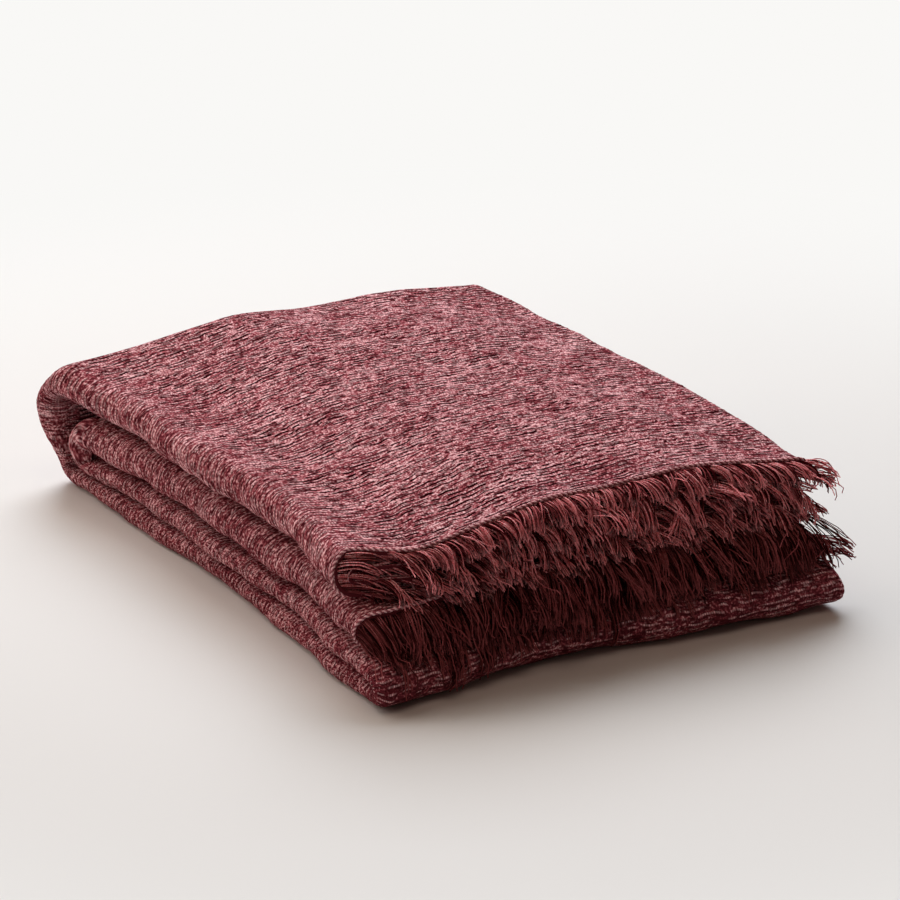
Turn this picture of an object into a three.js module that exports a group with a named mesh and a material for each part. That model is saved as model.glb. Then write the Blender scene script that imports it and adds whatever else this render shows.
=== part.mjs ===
// A chenille throw blanket with a short fringe on both ends, folded into quarters both ways and
// lying flat. Millimetres, +Z up. The fringed ends face -Y, and the weft yarns run along X.
//
// One rectangle of cloth is folded in half twice across its width, which makes a strip of four
// layers, and that strip is folded in half twice along its length. The cloth is a map from a
// place on the flat sheet, (weft, warp), to a place in the stack:
//   the weft fold gives x and the layer, counted from the middle of the strip of four;
//   the warp fold carries that strip round the stack, in depth and in layers from the floor;
//   the table of strips turns layers into heights, which are softer towards the top.
import * as THREE from 'three';

// ---- driving sizes, mm ----
const CLOTH_THICKNESS = 2.4;
const FRINGE_THICKNESS = 1.2;
const FRINGE_LENGTH = 32;
const FRINGE_CLEARANCE = 1;      // from the cloth's end to the comb
// A comb's cross lines, from the cloth's end: the first two bound its uncut band.
const FRINGE_LINES = [FRINGE_CLEARANCE, 3, 15, FRINGE_LENGTH];
const TOOTH_SHARE = 0.78;        // how much of a tooth's pitch is tooth, the rest is slot

const LEFT = 0;                  // outermost left fold
const RIGHT = 318;               // outermost right fold
const FRONT = -9;                // outermost front fold
const BACK = 428;                // outermost back fold
const MIDDLE = { x: 146.1, y: 209.7 };     // of the whole footprint, where the part's origin lies
const TOP_END = 27;              // where the fringed end on top stands back to
const INNER_END = 19;            // where the fringed end inside the stack stands back to
const LAYER_DEPTH = 4.6;         // from layer to layer where the strip turns at front and back
const FOLD_RADIUS = 2;           // of a strip folded flat on itself, in layers
const CORNER_RADIUS = 2.4;       // of the strip's two corners at the back, in layers
const BACK_POCKET = 8;           // slack between the inner and the outer fold at the back

const DUSTY_ROSE = 0x8a5256;
const DARK_ROSE = 0x5c2a2b;

// ---- the stack: a row for each strip of four layers, from the floor up ----
// leftPitch, middlePitch, rightPitch: height of a layer at three places across.
// left, right: how far the strip's side folds stand in from the outermost ones.
const LAYERS_A_STRIP = 4;
const STRIPS = [
  { name: 'floor strip', leftPitch: 3.4, middlePitch: 3.7, rightPitch: 3.5, left: 0, right: 3 },
  { name: 'lower strip', leftPitch: 3.6, middlePitch: 4.1, rightPitch: 3.9, left: 2, right: 2 },
  { name: 'upper strip', leftPitch: 7.0, middlePitch: 8.6, rightPitch: 7.9, left: 2, right: 2 },
  { name: 'top strip', leftPitch: 7.2, middlePitch: 9.2, rightPitch: 8.2, left: 0, right: 0 },
];
const CROWN = { leftWidth: 130, rightStart: 210 };     // where the middle's height begins and ends
const FRONT_SETTLE = { share: 0.06, depth: 120 };      // the top strips sink a little at the front

// ---- how the width is folded, from one selvedge to the other ----
// from, to: layers above the strip's middle. side: where a run ends, or where a fold lies.
// inset: how far a selvedge stops short. standBack: of a run's fringed ends, against the top's.
// uneven: the run whose ends follow the front lines' endBack.
const WEFT_ROWS = [
  { name: 'under run', from: -1.5, to: -1.5, side: 'left', inset: 3, standBack: -6, cells: 8, teeth: 8 },
  { name: 'outer left fold', from: -1.5, to: 1.5, side: 'left', cells: 6, teeth: 3 },
  { name: 'top run', from: 1.5, to: 1.5, side: 'right', uneven: true, standBack: 0, cells: 8, teeth: 8 },
  { name: 'right fold', from: 1.5, to: 0.5, side: 'right', cells: 4, teeth: 1 },
  { name: 'second run', from: 0.5, to: 0.5, side: 'left', standBack: -2, cells: 8, teeth: 8 },
  { name: 'inner left fold', from: 0.5, to: -0.5, side: 'left', cells: 4, teeth: 1 },
  { name: 'third run', from: -0.5, to: -0.5, side: 'right', inset: 6, standBack: -5, cells: 8, teeth: 8 },
];
const isRun = (row) => row.from === row.to;

// ---- how the length is folded, from the fringed end on top to the one inside ----
// to: a run's far depth in mm. drop: a run down the back, in layers. turn: degrees, + to the left.
const CORNER_DEPTH = CORNER_RADIUS * LAYER_DEPTH;
const STRIP_REACH = 1.5 * LAYER_DEPTH + CLOTH_THICKNESS / 2;
const OUTER_BACK = BACK - STRIP_REACH;
const INNER_BACK = OUTER_BACK - STRIP_REACH - BACK_POCKET - STRIP_REACH - FOLD_RADIUS * LAYER_DEPTH;
const FRONT_TURN = FRONT + STRIP_REACH + FOLD_RADIUS * LAYER_DEPTH;
const WARP_ROWS = [
  { name: 'top strip', to: OUTER_BACK - CORNER_DEPTH, cells: 6 },
  { name: 'back top corner', turn: -90, radius: CORNER_RADIUS, cells: 3 },
  { name: 'back drop', drop: 3 * LAYERS_A_STRIP - 2 * CORNER_RADIUS, cells: 2 },
  { name: 'back bottom corner', turn: -90, radius: CORNER_RADIUS, cells: 3 },
  { name: 'floor strip', to: FRONT_TURN, cells: 4 },
  { name: 'front fold', turn: -180, radius: FOLD_RADIUS, cells: 6 },
  { name: 'lower strip', to: INNER_BACK, cells: 4 },
  { name: 'inner back fold', turn: 180, radius: FOLD_RADIUS, cells: 5 },
  { name: 'upper strip', to: INNER_END, cells: 4 },
];
const TOP_STRIP_LAYER = (STRIPS.length - 0.5) * LAYERS_A_STRIP;     // the top strip's middle

// ---- unevenness, placed by hand ----
// Two lines across the front, a row for each eighth of the width, mm. endBack: how far the
// fringed end on top stands back. foldOut: how far the front folds stand out.
const FRONT_LINES = [
  { name: 'left fold', endBack: 6, foldOut: 7 },
  { name: 'first eighth', endBack: -3, foldOut: 4 },
  { name: 'quarter', endBack: -5, foldOut: -4 },
  { name: 'third eighth', endBack: -2, foldOut: -9 },
  { name: 'middle', endBack: 2, foldOut: -4 },
  { name: 'fifth eighth', endBack: 3, foldOut: 2 },
  { name: 'three quarters', endBack: 5, foldOut: 4 },
  { name: 'seventh eighth', endBack: 4, foldOut: 6 },
  { name: 'right fold', endBack: 0, foldOut: 9 },
];
const FRONT_LINE_DEPTH = 90;     // how far back the front folds' line is felt
// The fringed end on top curves back towards the left folds: how far, and over what width, mm.
const CORNER_CURVE = { back: 12, width: 39 };
// The side folds' lines, from front to back: how far each stands out to its side, mm.
const SIDE_LINES = [
  { y: -10, leftOut: 9, rightOut: -1 },
  { y: 40, leftOut: 7, rightOut: -3 },
  { y: 110, leftOut: 0, rightOut: -4 },
  { y: 200, leftOut: 2, rightOut: -4 },
  { y: 300, leftOut: 4, rightOut: -5 },
  { y: 380, leftOut: 9, rightOut: -10 },
  { y: 440, leftOut: 12, rightOut: -17 },
];
// Soft ridges and troughs of the top: from one place to the other, rise in mm.
const CREASES = [
  { x0: 60, y0: 430, x1: 250, y1: 300, spread: 26, rise: 2.2 },
  { x0: 150, y0: 430, x1: 320, y1: 330, spread: 20, rise: -2.0 },
  { x0: 20, y0: 60, x1: 120, y1: 90, spread: 22, rise: 1.6 },
  { x0: 40, y0: 200, x1: 40, y1: 330, spread: 18, rise: -1.4 },
  { x0: -10, y0: 405, x1: -10, y1: 440, spread: 48, rise: -9 },
];
// Places where the stack opens: layer from the floor, gap in mm.
const POCKETS = [
  { layer: 8, x: 0, y: 425, spread: 40, gap: 7 },
  { layer: 12, x: 0, y: 420, spread: 60, gap: 4 },
];
// The back left corner stands out of line at half height.
const FLARE = { x: 0, y: 438, z: 52, outX: -18, outY: 10, spread: 44, spreadZ: 30 };
// The side folds wander, mm.
const SIDE_WAVE = { swing: 1.4, length: 210, stepPerLayer: 23 };

// ---- the hang of the free ends: level as far as `from`, round a bend, then straight ----
// A row for two heights of the stack, mm: lower ends lie further forward before they hang.
const HANG_ROWS = [
  { height: 31, from: -3, bend: 12 },
  { height: 90, from: 8, bend: 18 },
];
const STEEPEST_HANG = THREE.MathUtils.degToRad(52);

const smooth = (t) => {
  const c = Math.min(Math.max(t, 0), 1);
  return c * c * (3 - 2 * c);
};
const mix = (a, b, t) => a + (b - a) * t;
const rowIndex = (place, rows) => Math.min(Math.max(Math.floor(place), 0), rows.length - 1);
const hump = (distance, spread) => Math.exp(-((distance / spread) ** 2));

// A column of a table at a place that counts rows, eased from row to row.
function between(rows, column, place, ease = (t) => t) {
  const lower = Math.min(rowIndex(place, rows), rows.length - 2);
  return mix(rows[lower][column], rows[lower + 1][column], ease(place - lower));
}

// How far a side's folds stand out at a depth.
function sideLine(column, y) {
  const last = SIDE_LINES.length - 2;
  const lower = Math.max(Math.min(SIDE_LINES.findLastIndex((row) => row.y <= y), last), 0);
  const [near, far] = [SIDE_LINES[lower], SIDE_LINES[lower + 1]];
  return mix(near[column], far[column], smooth((y - near.y) / (far.y - near.y)));
}

// A column of the strips' table, between the middles of the strips.
function stripValue(column, layer) {
  const place = Math.min(Math.max(layer / LAYERS_A_STRIP - 0.5, 0), STRIPS.length - 1);
  return between(STRIPS, column, place);
}

function pitchAt(strip, x, y) {
  const rise = smooth((x - LEFT) / CROWN.leftWidth);
  const fall = smooth((x - CROWN.rightStart) / (RIGHT - CROWN.rightStart));
  const crowned = mix(mix(strip.leftPitch, strip.middlePitch, rise), strip.rightPitch, fall);
  return crowned * (1 - FRONT_SETTLE.share * smooth((FRONT_SETTLE.depth - y) / FRONT_SETTLE.depth));
}

function creaseRise(x, y) {
  let rise = 0;
  for (const c of CREASES) {
    const along = [c.x1 - c.x0, c.y1 - c.y0];
    const length2 = along[0] ** 2 + along[1] ** 2;
    const t = ((x - c.x0) * along[0] + (y - c.y0) * along[1]) / length2;
    const near = Math.min(Math.max(t, 0), 1);
    rise += c.rise * hump(Math.hypot(x - c.x0 - near * along[0], y - c.y0 - near * along[1]), c.spread);
  }
  return rise;
}

// Height of the cloth's middle at a layer: the lowest layer lies flat on the floor.
function heightAt(layer, x, y) {
  const lowest = 0.5;
  let z = CLOTH_THICKNESS / 2;
  STRIPS.forEach((strip, i) => {
    const bottom = Math.max(i * LAYERS_A_STRIP, lowest);
    const top = i === STRIPS.length - 1 ? Infinity : (i + 1) * LAYERS_A_STRIP;
    z += Math.max(Math.min(layer, top) - bottom, 0) * pitchAt(strip, x, y);
  });
  for (const p of POCKETS) {
    z += p.gap * smooth(layer - p.layer + 0.5) * hump(Math.hypot(x - p.x, y - p.y), p.spread);
  }
  const layers = STRIPS.length * LAYERS_A_STRIP;
  return z + creaseRise(x, y) * Math.max((layer - lowest) / layers, 0) ** 2;
}

// Where the weft fold puts a yarn: x and the layer above the strip's middle. u counts rows.
function weftPlace(u, stripLayer, y) {
  const index = rowIndex(u, WEFT_ROWS);
  const row = WEFT_ROWS[index];
  const t = u - index;
  const wander = SIDE_WAVE.swing
    * Math.sin((2 * Math.PI * (y + stripLayer * SIDE_WAVE.stepPerLayer)) / SIDE_WAVE.length);
  const leftTurn = LEFT - sideLine('leftOut', y) + stripValue('left', stripLayer) + wander
    + CLOTH_THICKNESS / 2 + 1.5 * stripValue('leftPitch', stripLayer);
  const rightTurn = RIGHT + sideLine('rightOut', y) - stripValue('right', stripLayer) + wander
    - CLOTH_THICKNESS / 2 - 0.5 * stripValue('rightPitch', stripLayer);
  if (isRun(row)) {
    const near = row.side === 'left' ? rightTurn : leftTurn;
    const far = row.side === 'left' ? leftTurn : rightTurn;
    const first = index === 0 ? near - row.inset : near;
    const last = index === WEFT_ROWS.length - 1 ? far - row.inset : far;
    return { x: mix(first, last, t), layer: row.from };
  }
  const radius = Math.abs(row.to - row.from) / 2;
  const pitch = stripValue(`${row.side}Pitch`, stripLayer);
  const bulge = radius * pitch * Math.sin(Math.PI * t);
  return {
    x: row.side === 'left' ? leftTurn - bulge : rightTurn + bulge,
    layer: (row.from + row.to) / 2 + ((row.from - row.to) / 2) * Math.cos(Math.PI * t),
  };
}

// The warp fold's rows, each with the depth, layer and heading that it starts from.
function walkWarp() {
  const legs = [];
  let y = TOP_END;
  let layer = TOP_STRIP_LAYER;
  let heading = 0;
  for (const row of WARP_ROWS) {
    legs.push({ ...row, y, layer, heading });
    if (row.turn) {
      const end = roundBend(legs.at(-1), 1);
      y = end.y;
      layer = end.layer;
      heading += row.turn;
    } else if (row.drop) {
      layer -= row.drop;
    } else {
      y = row.to;
    }
  }
  return legs;
}

// A place round a bend, t from 0 to 1, where a layer is LAYER_DEPTH deep.
function roundBend(leg, t) {
  const start = THREE.MathUtils.degToRad(leg.heading);
  const side = Math.sign(leg.turn);
  const angle = start + THREE.MathUtils.degToRad(leg.turn) * t;
  return {
    y: leg.y + side * leg.radius * LAYER_DEPTH * (Math.sin(angle) - Math.sin(start)),
    layer: leg.layer - side * leg.radius * (Math.cos(angle) - Math.cos(start)),
    angle,
  };
}

const LEGS = walkWarp();

function warpPlace(v) {
  const index = rowIndex(v, LEGS);
  const leg = LEGS[index];
  const t = v - index;
  if (leg.turn) {
    return roundBend(leg, t);
  }
  const angle = THREE.MathUtils.degToRad(leg.heading);
  const layer = leg.drop ? leg.layer - leg.drop * t : leg.layer;
  return { y: leg.drop ? leg.y : mix(leg.y, leg.to, t), layer, angle };
}

// Whether warp v is on one of the two strips that end in a fringe.
function isFree(v) {
  return v < 1 || v > WARP_ROWS.length - 1;
}

// How far the front folds stand out at a place across.
function foldOut(x) {
  const across = Math.min(Math.max((x - LEFT) / (RIGHT - LEFT), 0), 1);
  return between(FRONT_LINES, 'foldOut', across * (FRONT_LINES.length - 1), smooth);
}

// How far a yarn's fringed ends stand back from the end's own line.
function standBack(u) {
  const index = rowIndex(u, WEFT_ROWS);
  const row = WEFT_ROWS[index];
  const t = u - index;
  if (!isRun(row)) {
    return mix(endOf(index - 1, 1), endOf(index + 1, 0), t);
  }
  return endOf(index, t);
}

function endOf(index, t) {
  const row = WEFT_ROWS[index];
  if (!row.uneven) {
    return row.standBack;
  }
  return row.standBack + between(FRONT_LINES, 'endBack', t * (FRONT_LINES.length - 1));
}

// How far the end on top curves back at a place across; the inner end runs straight.
function cornerBack(x, v) {
  return v < 1 ? CORNER_CURVE.back * (1 - smooth((x - LEFT) / CORNER_CURVE.width)) : 0;
}

// Bends a level place of a free end down over what lies below it.
function hang(place) {
  const [low, high] = HANG_ROWS;
  const t = Math.min(Math.max((place.z - low.height) / (high.height - low.height), 0), 1);
  const bend = mix(low.bend, high.bend, t);
  const past = Math.max(mix(low.from, high.from, t) - place.y, 0);
  const angle = Math.min(past / bend, STEEPEST_HANG);
  const tail = past - angle * bend;
  place.y += past - bend * Math.sin(angle) - tail * Math.cos(angle);
  place.z -= bend * (1 - Math.cos(angle)) + tail * Math.sin(angle);
  return place;
}

// The middle of the cloth before its ends hang, at weft u and warp v, in rows of their tables.
function levelPoint(u, v) {
  const warp = warpPlace(v);
  const { x, layer } = weftPlace(u, warp.layer, warp.y);
  const depth = warp.y - Math.sin(warp.angle) * layer * LAYER_DEPTH;
  const fromEnd = v < 1 ? v : WARP_ROWS.length - v;
  const shift = isFree(v)
    ? (standBack(u) + cornerBack(x, v)) * (1 - smooth(fromEnd))
    : -foldOut(x) * smooth(1 - depth / FRONT_LINE_DEPTH);
  const y = depth + shift;
  const z = heightAt(warp.layer + Math.cos(warp.angle) * layer, x, y);
  const beside = hump(Math.hypot(x - FLARE.x, y - FLARE.y), FLARE.spread);
  const flare = beside * hump(z - FLARE.z, FLARE.spreadZ);
  return new THREE.Vector3(x + FLARE.outX * flare, y + FLARE.outY * flare, z);
}

function clothPoint(u, v) {
  return isFree(v) ? hang(levelPoint(u, v)) : levelPoint(u, v);
}

// The middle of the fringe, s mm beyond the cloth's end at warp v.
function fringePoint(u, v, s) {
  const place = levelPoint(u, v);
  place.y -= s;
  return hang(place);
}

// A closed sheet of even thickness on the cells of a grid that `has(i, j)` keeps.
function sheetSolid(pointAt, us, vs, thickness, has) {
  const step = 1e-3;
  const positions = [];
  const indices = [];
  const columns = us.length;
  for (const v of vs) {
    for (const u of us) {
      const alongU = pointAt(u + step, v).sub(pointAt(u - step, v));
      const alongV = pointAt(u, v + step).sub(pointAt(u, v - step));
      const offset = alongU.cross(alongV).normalize().multiplyScalar(thickness / 2);
      const middle = pointAt(u, v);
      positions.push(...middle.clone().add(offset).toArray(), ...middle.sub(offset).toArray());
    }
  }
  const front = (i, j) => 2 * (j * columns + i);
  const quad = (a, b, c, d) => indices.push(a, b, c, a, c, d);
  const kept = (i, j) => i >= 0 && j >= 0 && i < columns - 1 && j < vs.length - 1 && has(i, j);
  const wall = (a, b) => quad(a, a + 1, b + 1, b);
  for (let j = 0; j < vs.length - 1; j += 1) {
    for (let i = 0; i < columns - 1; i += 1) {
      if (kept(i, j)) {
        const [a, b, c, d] = [front(i, j), front(i + 1, j), front(i + 1, j + 1), front(i, j + 1)];
        quad(a, b, c, d);
        quad(a + 1, d + 1, c + 1, b + 1);
        if (!kept(i, j - 1)) wall(a, b);
        if (!kept(i + 1, j)) wall(b, c);
        if (!kept(i, j + 1)) wall(c, d);
        if (!kept(i - 1, j)) wall(d, a);
      }
    }
  }
  return usedOnly(positions, indices);
}

// A geometry without the points that no face uses.
function usedOnly(positions, indices) {
  const places = new Map();
  const kept = [];
  const renumbered = indices.map((index) => {
    if (!places.has(index)) {
      places.set(index, places.size);
      kept.push(...positions.slice(3 * index, 3 * index + 3));
    }
    return places.get(index);
  });
  const geometry = new THREE.BufferGeometry();
  geometry.setAttribute('position', new THREE.Float32BufferAttribute(kept, 3));
  geometry.setIndex(renumbered);
  geometry.computeVertexNormals();
  return geometry;
}

// Even stations along a table's rows, from the first row's start to the last row's end.
function stations(rows) {
  const places = [0];
  rows.forEach((row, index) => {
    for (let k = 1; k <= row.cells; k += 1) {
      places.push(index + k / row.cells);
    }
  });
  return places;
}

// The comb's stations: a slot's two halves lie on either side of each tooth.
function combStations() {
  const places = [0];
  const teeth = [];
  WEFT_ROWS.forEach((row, index) => {
    for (let k = 0; k < row.teeth; k += 1) {
      const slot = (1 - TOOTH_SHARE) / 2;
      places.push(index + (k + slot) / row.teeth);
      teeth.push(places.length - 1);
      places.push(index + (k + 1 - slot) / row.teeth);
    }
    places.push(index + 1);
  });
  return { places, teeth: new Set(teeth) };
}

function makeCloth() {
  const us = stations(WEFT_ROWS);
  const vs = stations(WARP_ROWS);
  const geometry = sheetSolid(clothPoint, us, vs, CLOTH_THICKNESS, () => true);
  const material = new THREE.MeshStandardMaterial({ color: DUSTY_ROSE, roughness: 0.9, metalness: 0 });
  return namedMesh('throw_cloth', geometry, material);
}

// heading is -1 where the fringe leaves the warp rows' start, and 1 at their end.
function makeFringe(name, warpEnd, heading) {
  const { places, teeth } = combStations();
  const ordered = FRINGE_LINES.map((s) => heading * s).sort((a, b) => a - b);
  const bandRow = heading < 0 ? ordered.length - 2 : 0;
  const pointAt = (u, s) => fringePoint(u, warpEnd, Math.abs(s));
  const has = (i, j) => j === bandRow || teeth.has(i);
  const geometry = sheetSolid(pointAt, places, ordered, FRINGE_THICKNESS, has);
  const material = new THREE.MeshStandardMaterial({ color: DARK_ROSE, roughness: 0.85, metalness: 0 });
  return namedMesh(name, geometry, material);
}

function namedMesh(name, geometry, material) {
  const mesh = new THREE.Mesh(geometry, material);
  mesh.name = name;
  return mesh;
}

const throwBlanket = new THREE.Group();
throwBlanket.position.set(-MIDDLE.x, -MIDDLE.y, 0);
throwBlanket.add(
  makeCloth(),
  makeFringe('fringe_outer_end', 0, -1),
  makeFringe('fringe_inner_end', WARP_ROWS.length, 1),
);

export default throwBlanket;
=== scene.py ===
"""The looks of a fringed chenille throw blanket, folded into quarters both ways and lying flat.

Lengths are in millimetres until a mesh is made, then metres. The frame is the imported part's:
+Z up, the fringed ends face -Y, the weft (chenille) yarns run along X. The cloth is one flat
rectangle, carried into the stack by the same map as its solid: (weft, warp) goes to a place.
"""
import logging
import math
from collections.abc import Iterable, Iterator
from dataclasses import dataclass, field
from enum import Enum

import bpy
import numpy as np
from mathutils import Matrix, Vector


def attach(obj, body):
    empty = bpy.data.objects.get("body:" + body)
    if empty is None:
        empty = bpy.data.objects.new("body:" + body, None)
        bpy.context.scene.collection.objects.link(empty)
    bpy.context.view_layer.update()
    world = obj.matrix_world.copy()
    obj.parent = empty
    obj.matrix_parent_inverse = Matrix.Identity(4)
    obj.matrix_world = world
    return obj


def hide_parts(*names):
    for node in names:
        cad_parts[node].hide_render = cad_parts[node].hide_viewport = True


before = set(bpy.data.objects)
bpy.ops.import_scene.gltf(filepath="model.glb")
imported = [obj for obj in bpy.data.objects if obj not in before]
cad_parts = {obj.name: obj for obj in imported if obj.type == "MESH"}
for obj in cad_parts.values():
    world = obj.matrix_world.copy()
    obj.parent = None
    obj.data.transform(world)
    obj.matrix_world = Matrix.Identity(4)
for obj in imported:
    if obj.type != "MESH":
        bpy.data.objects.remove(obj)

LOG = logging.getLogger("throw")
MM = 0.001
TINY = 1e-3             # a small step along a row, over which directions are measured
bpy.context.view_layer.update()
Array = np.ndarray


class Edge(Enum):
    """The side of the stack where a run of weft ends or a fold lies."""

    LEFT = "left"
    RIGHT = "right"


class Region(Enum):
    """A part of the stack that is uneven in its own way."""

    LEFT_FOLDS = "left folds"
    RIGHT_FOLDS = "right folds"
    FRONT_FOLDS = "front folds"
    TOP = "top"


# ---------------------------------------------------------------- small helpers


def smooth(t: Array) -> Array:
    """Ease from 0 to 1 with level ends."""
    c = np.clip(t, 0.0, 1.0)
    return c * c * (3 - 2 * c)


def mix(a: Array, b: Array, t: Array) -> Array:
    """The value a share t of the way from a to b."""
    return a + (b - a) * t


def hump(distance: Array, spread: float) -> Array:
    """A soft bell, 1 at no distance."""
    return np.exp(-((distance / spread) ** 2))


def unit(vectors: Array) -> Array:
    """Vectors made one long."""
    return vectors / np.maximum(np.linalg.norm(vectors, axis=1, keepdims=True), 1e-12)


def link(name: str, data: bpy.types.ID) -> bpy.types.Object:
    """Put a new object into the scene, at the origin.

    Args:
        name: the object's name.
        data: its mesh, light or camera.

    Returns:
        The object.
    """
    piece = bpy.data.objects.new(name, data)
    bpy.context.collection.objects.link(piece)
    return piece


def between(column: Array, place: Array, eased: bool = False) -> Array:
    """Read a table's column at places that count its rows.

    Args:
        column: one value for each row.
        place: where to read, 0 at the first row.
        eased: whether to ease from row to row.

    Returns:
        The values in between.
    """
    lower = np.clip(np.floor(place), 0, len(column) - 2).astype(int)
    t = np.clip(place - lower, 0, 1)
    return mix(column[lower], column[lower + 1], smooth(t) if eased else t)


class SoftNoise:
    """Even, repeatable unevenness: values on a lattice, eased in between."""

    def __init__(self, seed: int, size: int = 256) -> None:
        """Draw the lattice.

        Args:
            seed: fixes the pattern.
            size: lattice points each way before it repeats.
        """
        self.size = size
        self.values = np.random.default_rng(seed).uniform(-1, 1, (size, size))

    def at(self, a: Array, b: Array) -> Array:
        """Read the noise.

        Args:
            a: first coordinate, in lattice steps.
            b: second coordinate, in lattice steps.

        Returns:
            Values from -1 to 1.
        """
        i, j = np.floor(a).astype(int), np.floor(b).astype(int)
        s, t = smooth(a - i), smooth(b - j)
        n = self.size
        low = mix(self.values[i % n, j % n], self.values[(i + 1) % n, j % n], s)
        high = mix(self.values[i % n, (j + 1) % n], self.values[(i + 1) % n, (j + 1) % n], s)
        return mix(low, high, t)


# ---------------------------------------------------------------- how the throw is folded


@dataclass(frozen=True)
class WeftRow:
    """One run or fold of the width, from one selvedge to the other."""

    start: float            # layers above the strip's middle
    end: float
    side: Edge
    inset: float = 0.0      # how far a selvedge stops short
    stand_back: float = 0.0
    uneven: bool = False    # its fringed ends follow the front lines
    outside: bool = False   # a fold that shows in every strip

    @property
    def is_run(self) -> bool:
        """Whether the row stays in one layer."""
        return self.start == self.end


@dataclass(frozen=True)
class WarpRow:
    """One run or bend of the length, from the fringed end on top to the one inside."""

    to: float = 0.0         # a run's far depth
    drop: float = 0.0       # a run down the back, in layers
    turn: float = 0.0       # degrees, + to the left
    radius: float = 0.0     # of a bend, in layers
    shows: bool = False     # whether its outermost layer does

    def place(self, start: tuple[float, float, float], t: Array,
              layer_depth: float) -> tuple[Array, Array, Array]:
        """Where the row has come to.

        Args:
            start: depth, layer and heading, in radians, where it starts.
            t: share of its way.
            layer_depth: how deep one layer of a bend is.

        Returns:
            Depth, layer and heading.
        """
        y, layer, heading = start
        if self.turn:
            turned = heading + math.radians(self.turn) * t
            reach = math.copysign(1, self.turn) * self.radius
            return (y + reach * layer_depth * (np.sin(turned) - math.sin(heading)),
                    layer - reach * (np.cos(turned) - math.cos(heading)), turned)
        if self.drop:
            return y, layer - self.drop * t, heading
        return mix(y, self.to, t), layer, heading


@dataclass(frozen=True)
class Strip:
    """Four layers of the stack: the height of one layer at three places across."""

    left_pitch: float
    middle_pitch: float
    right_pitch: float
    left_in: float          # how far its side folds stand in from the outermost ones
    right_in: float


@dataclass(frozen=True)
class FrontLine:
    """At an eighth of the width: where the fringed end and the front folds lie."""

    end_back: float
    fold_out: float


@dataclass(frozen=True)
class SideLine:
    """At a depth: how far each side's folds stand out."""

    y: float
    left_out: float
    right_out: float


@dataclass(frozen=True)
class Crease:
    """A soft ridge or trough of the top, from one place to another."""

    x0: float
    y0: float
    x1: float
    y1: float
    spread: float
    rise: float


@dataclass(frozen=True)
class Pocket:
    """A place where the stack opens above a layer."""

    layer: float
    x: float
    y: float
    spread: float
    gap: float


@dataclass(frozen=True)
class Flare:
    """A corner that stands out of line."""

    x: float
    y: float
    z: float
    out_x: float
    out_y: float
    spread: float
    spread_z: float


@dataclass(frozen=True)
class Ripple:
    """A small wave of the surface: the way it moves, and the runs over which it changes."""

    region: Region
    axis: int               # 0 sideways, 1 in depth, 2 up
    swing: float
    run: float              # along the first of the two other axes
    start: float
    run_up: float           # along the second
    start_up: float


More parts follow.
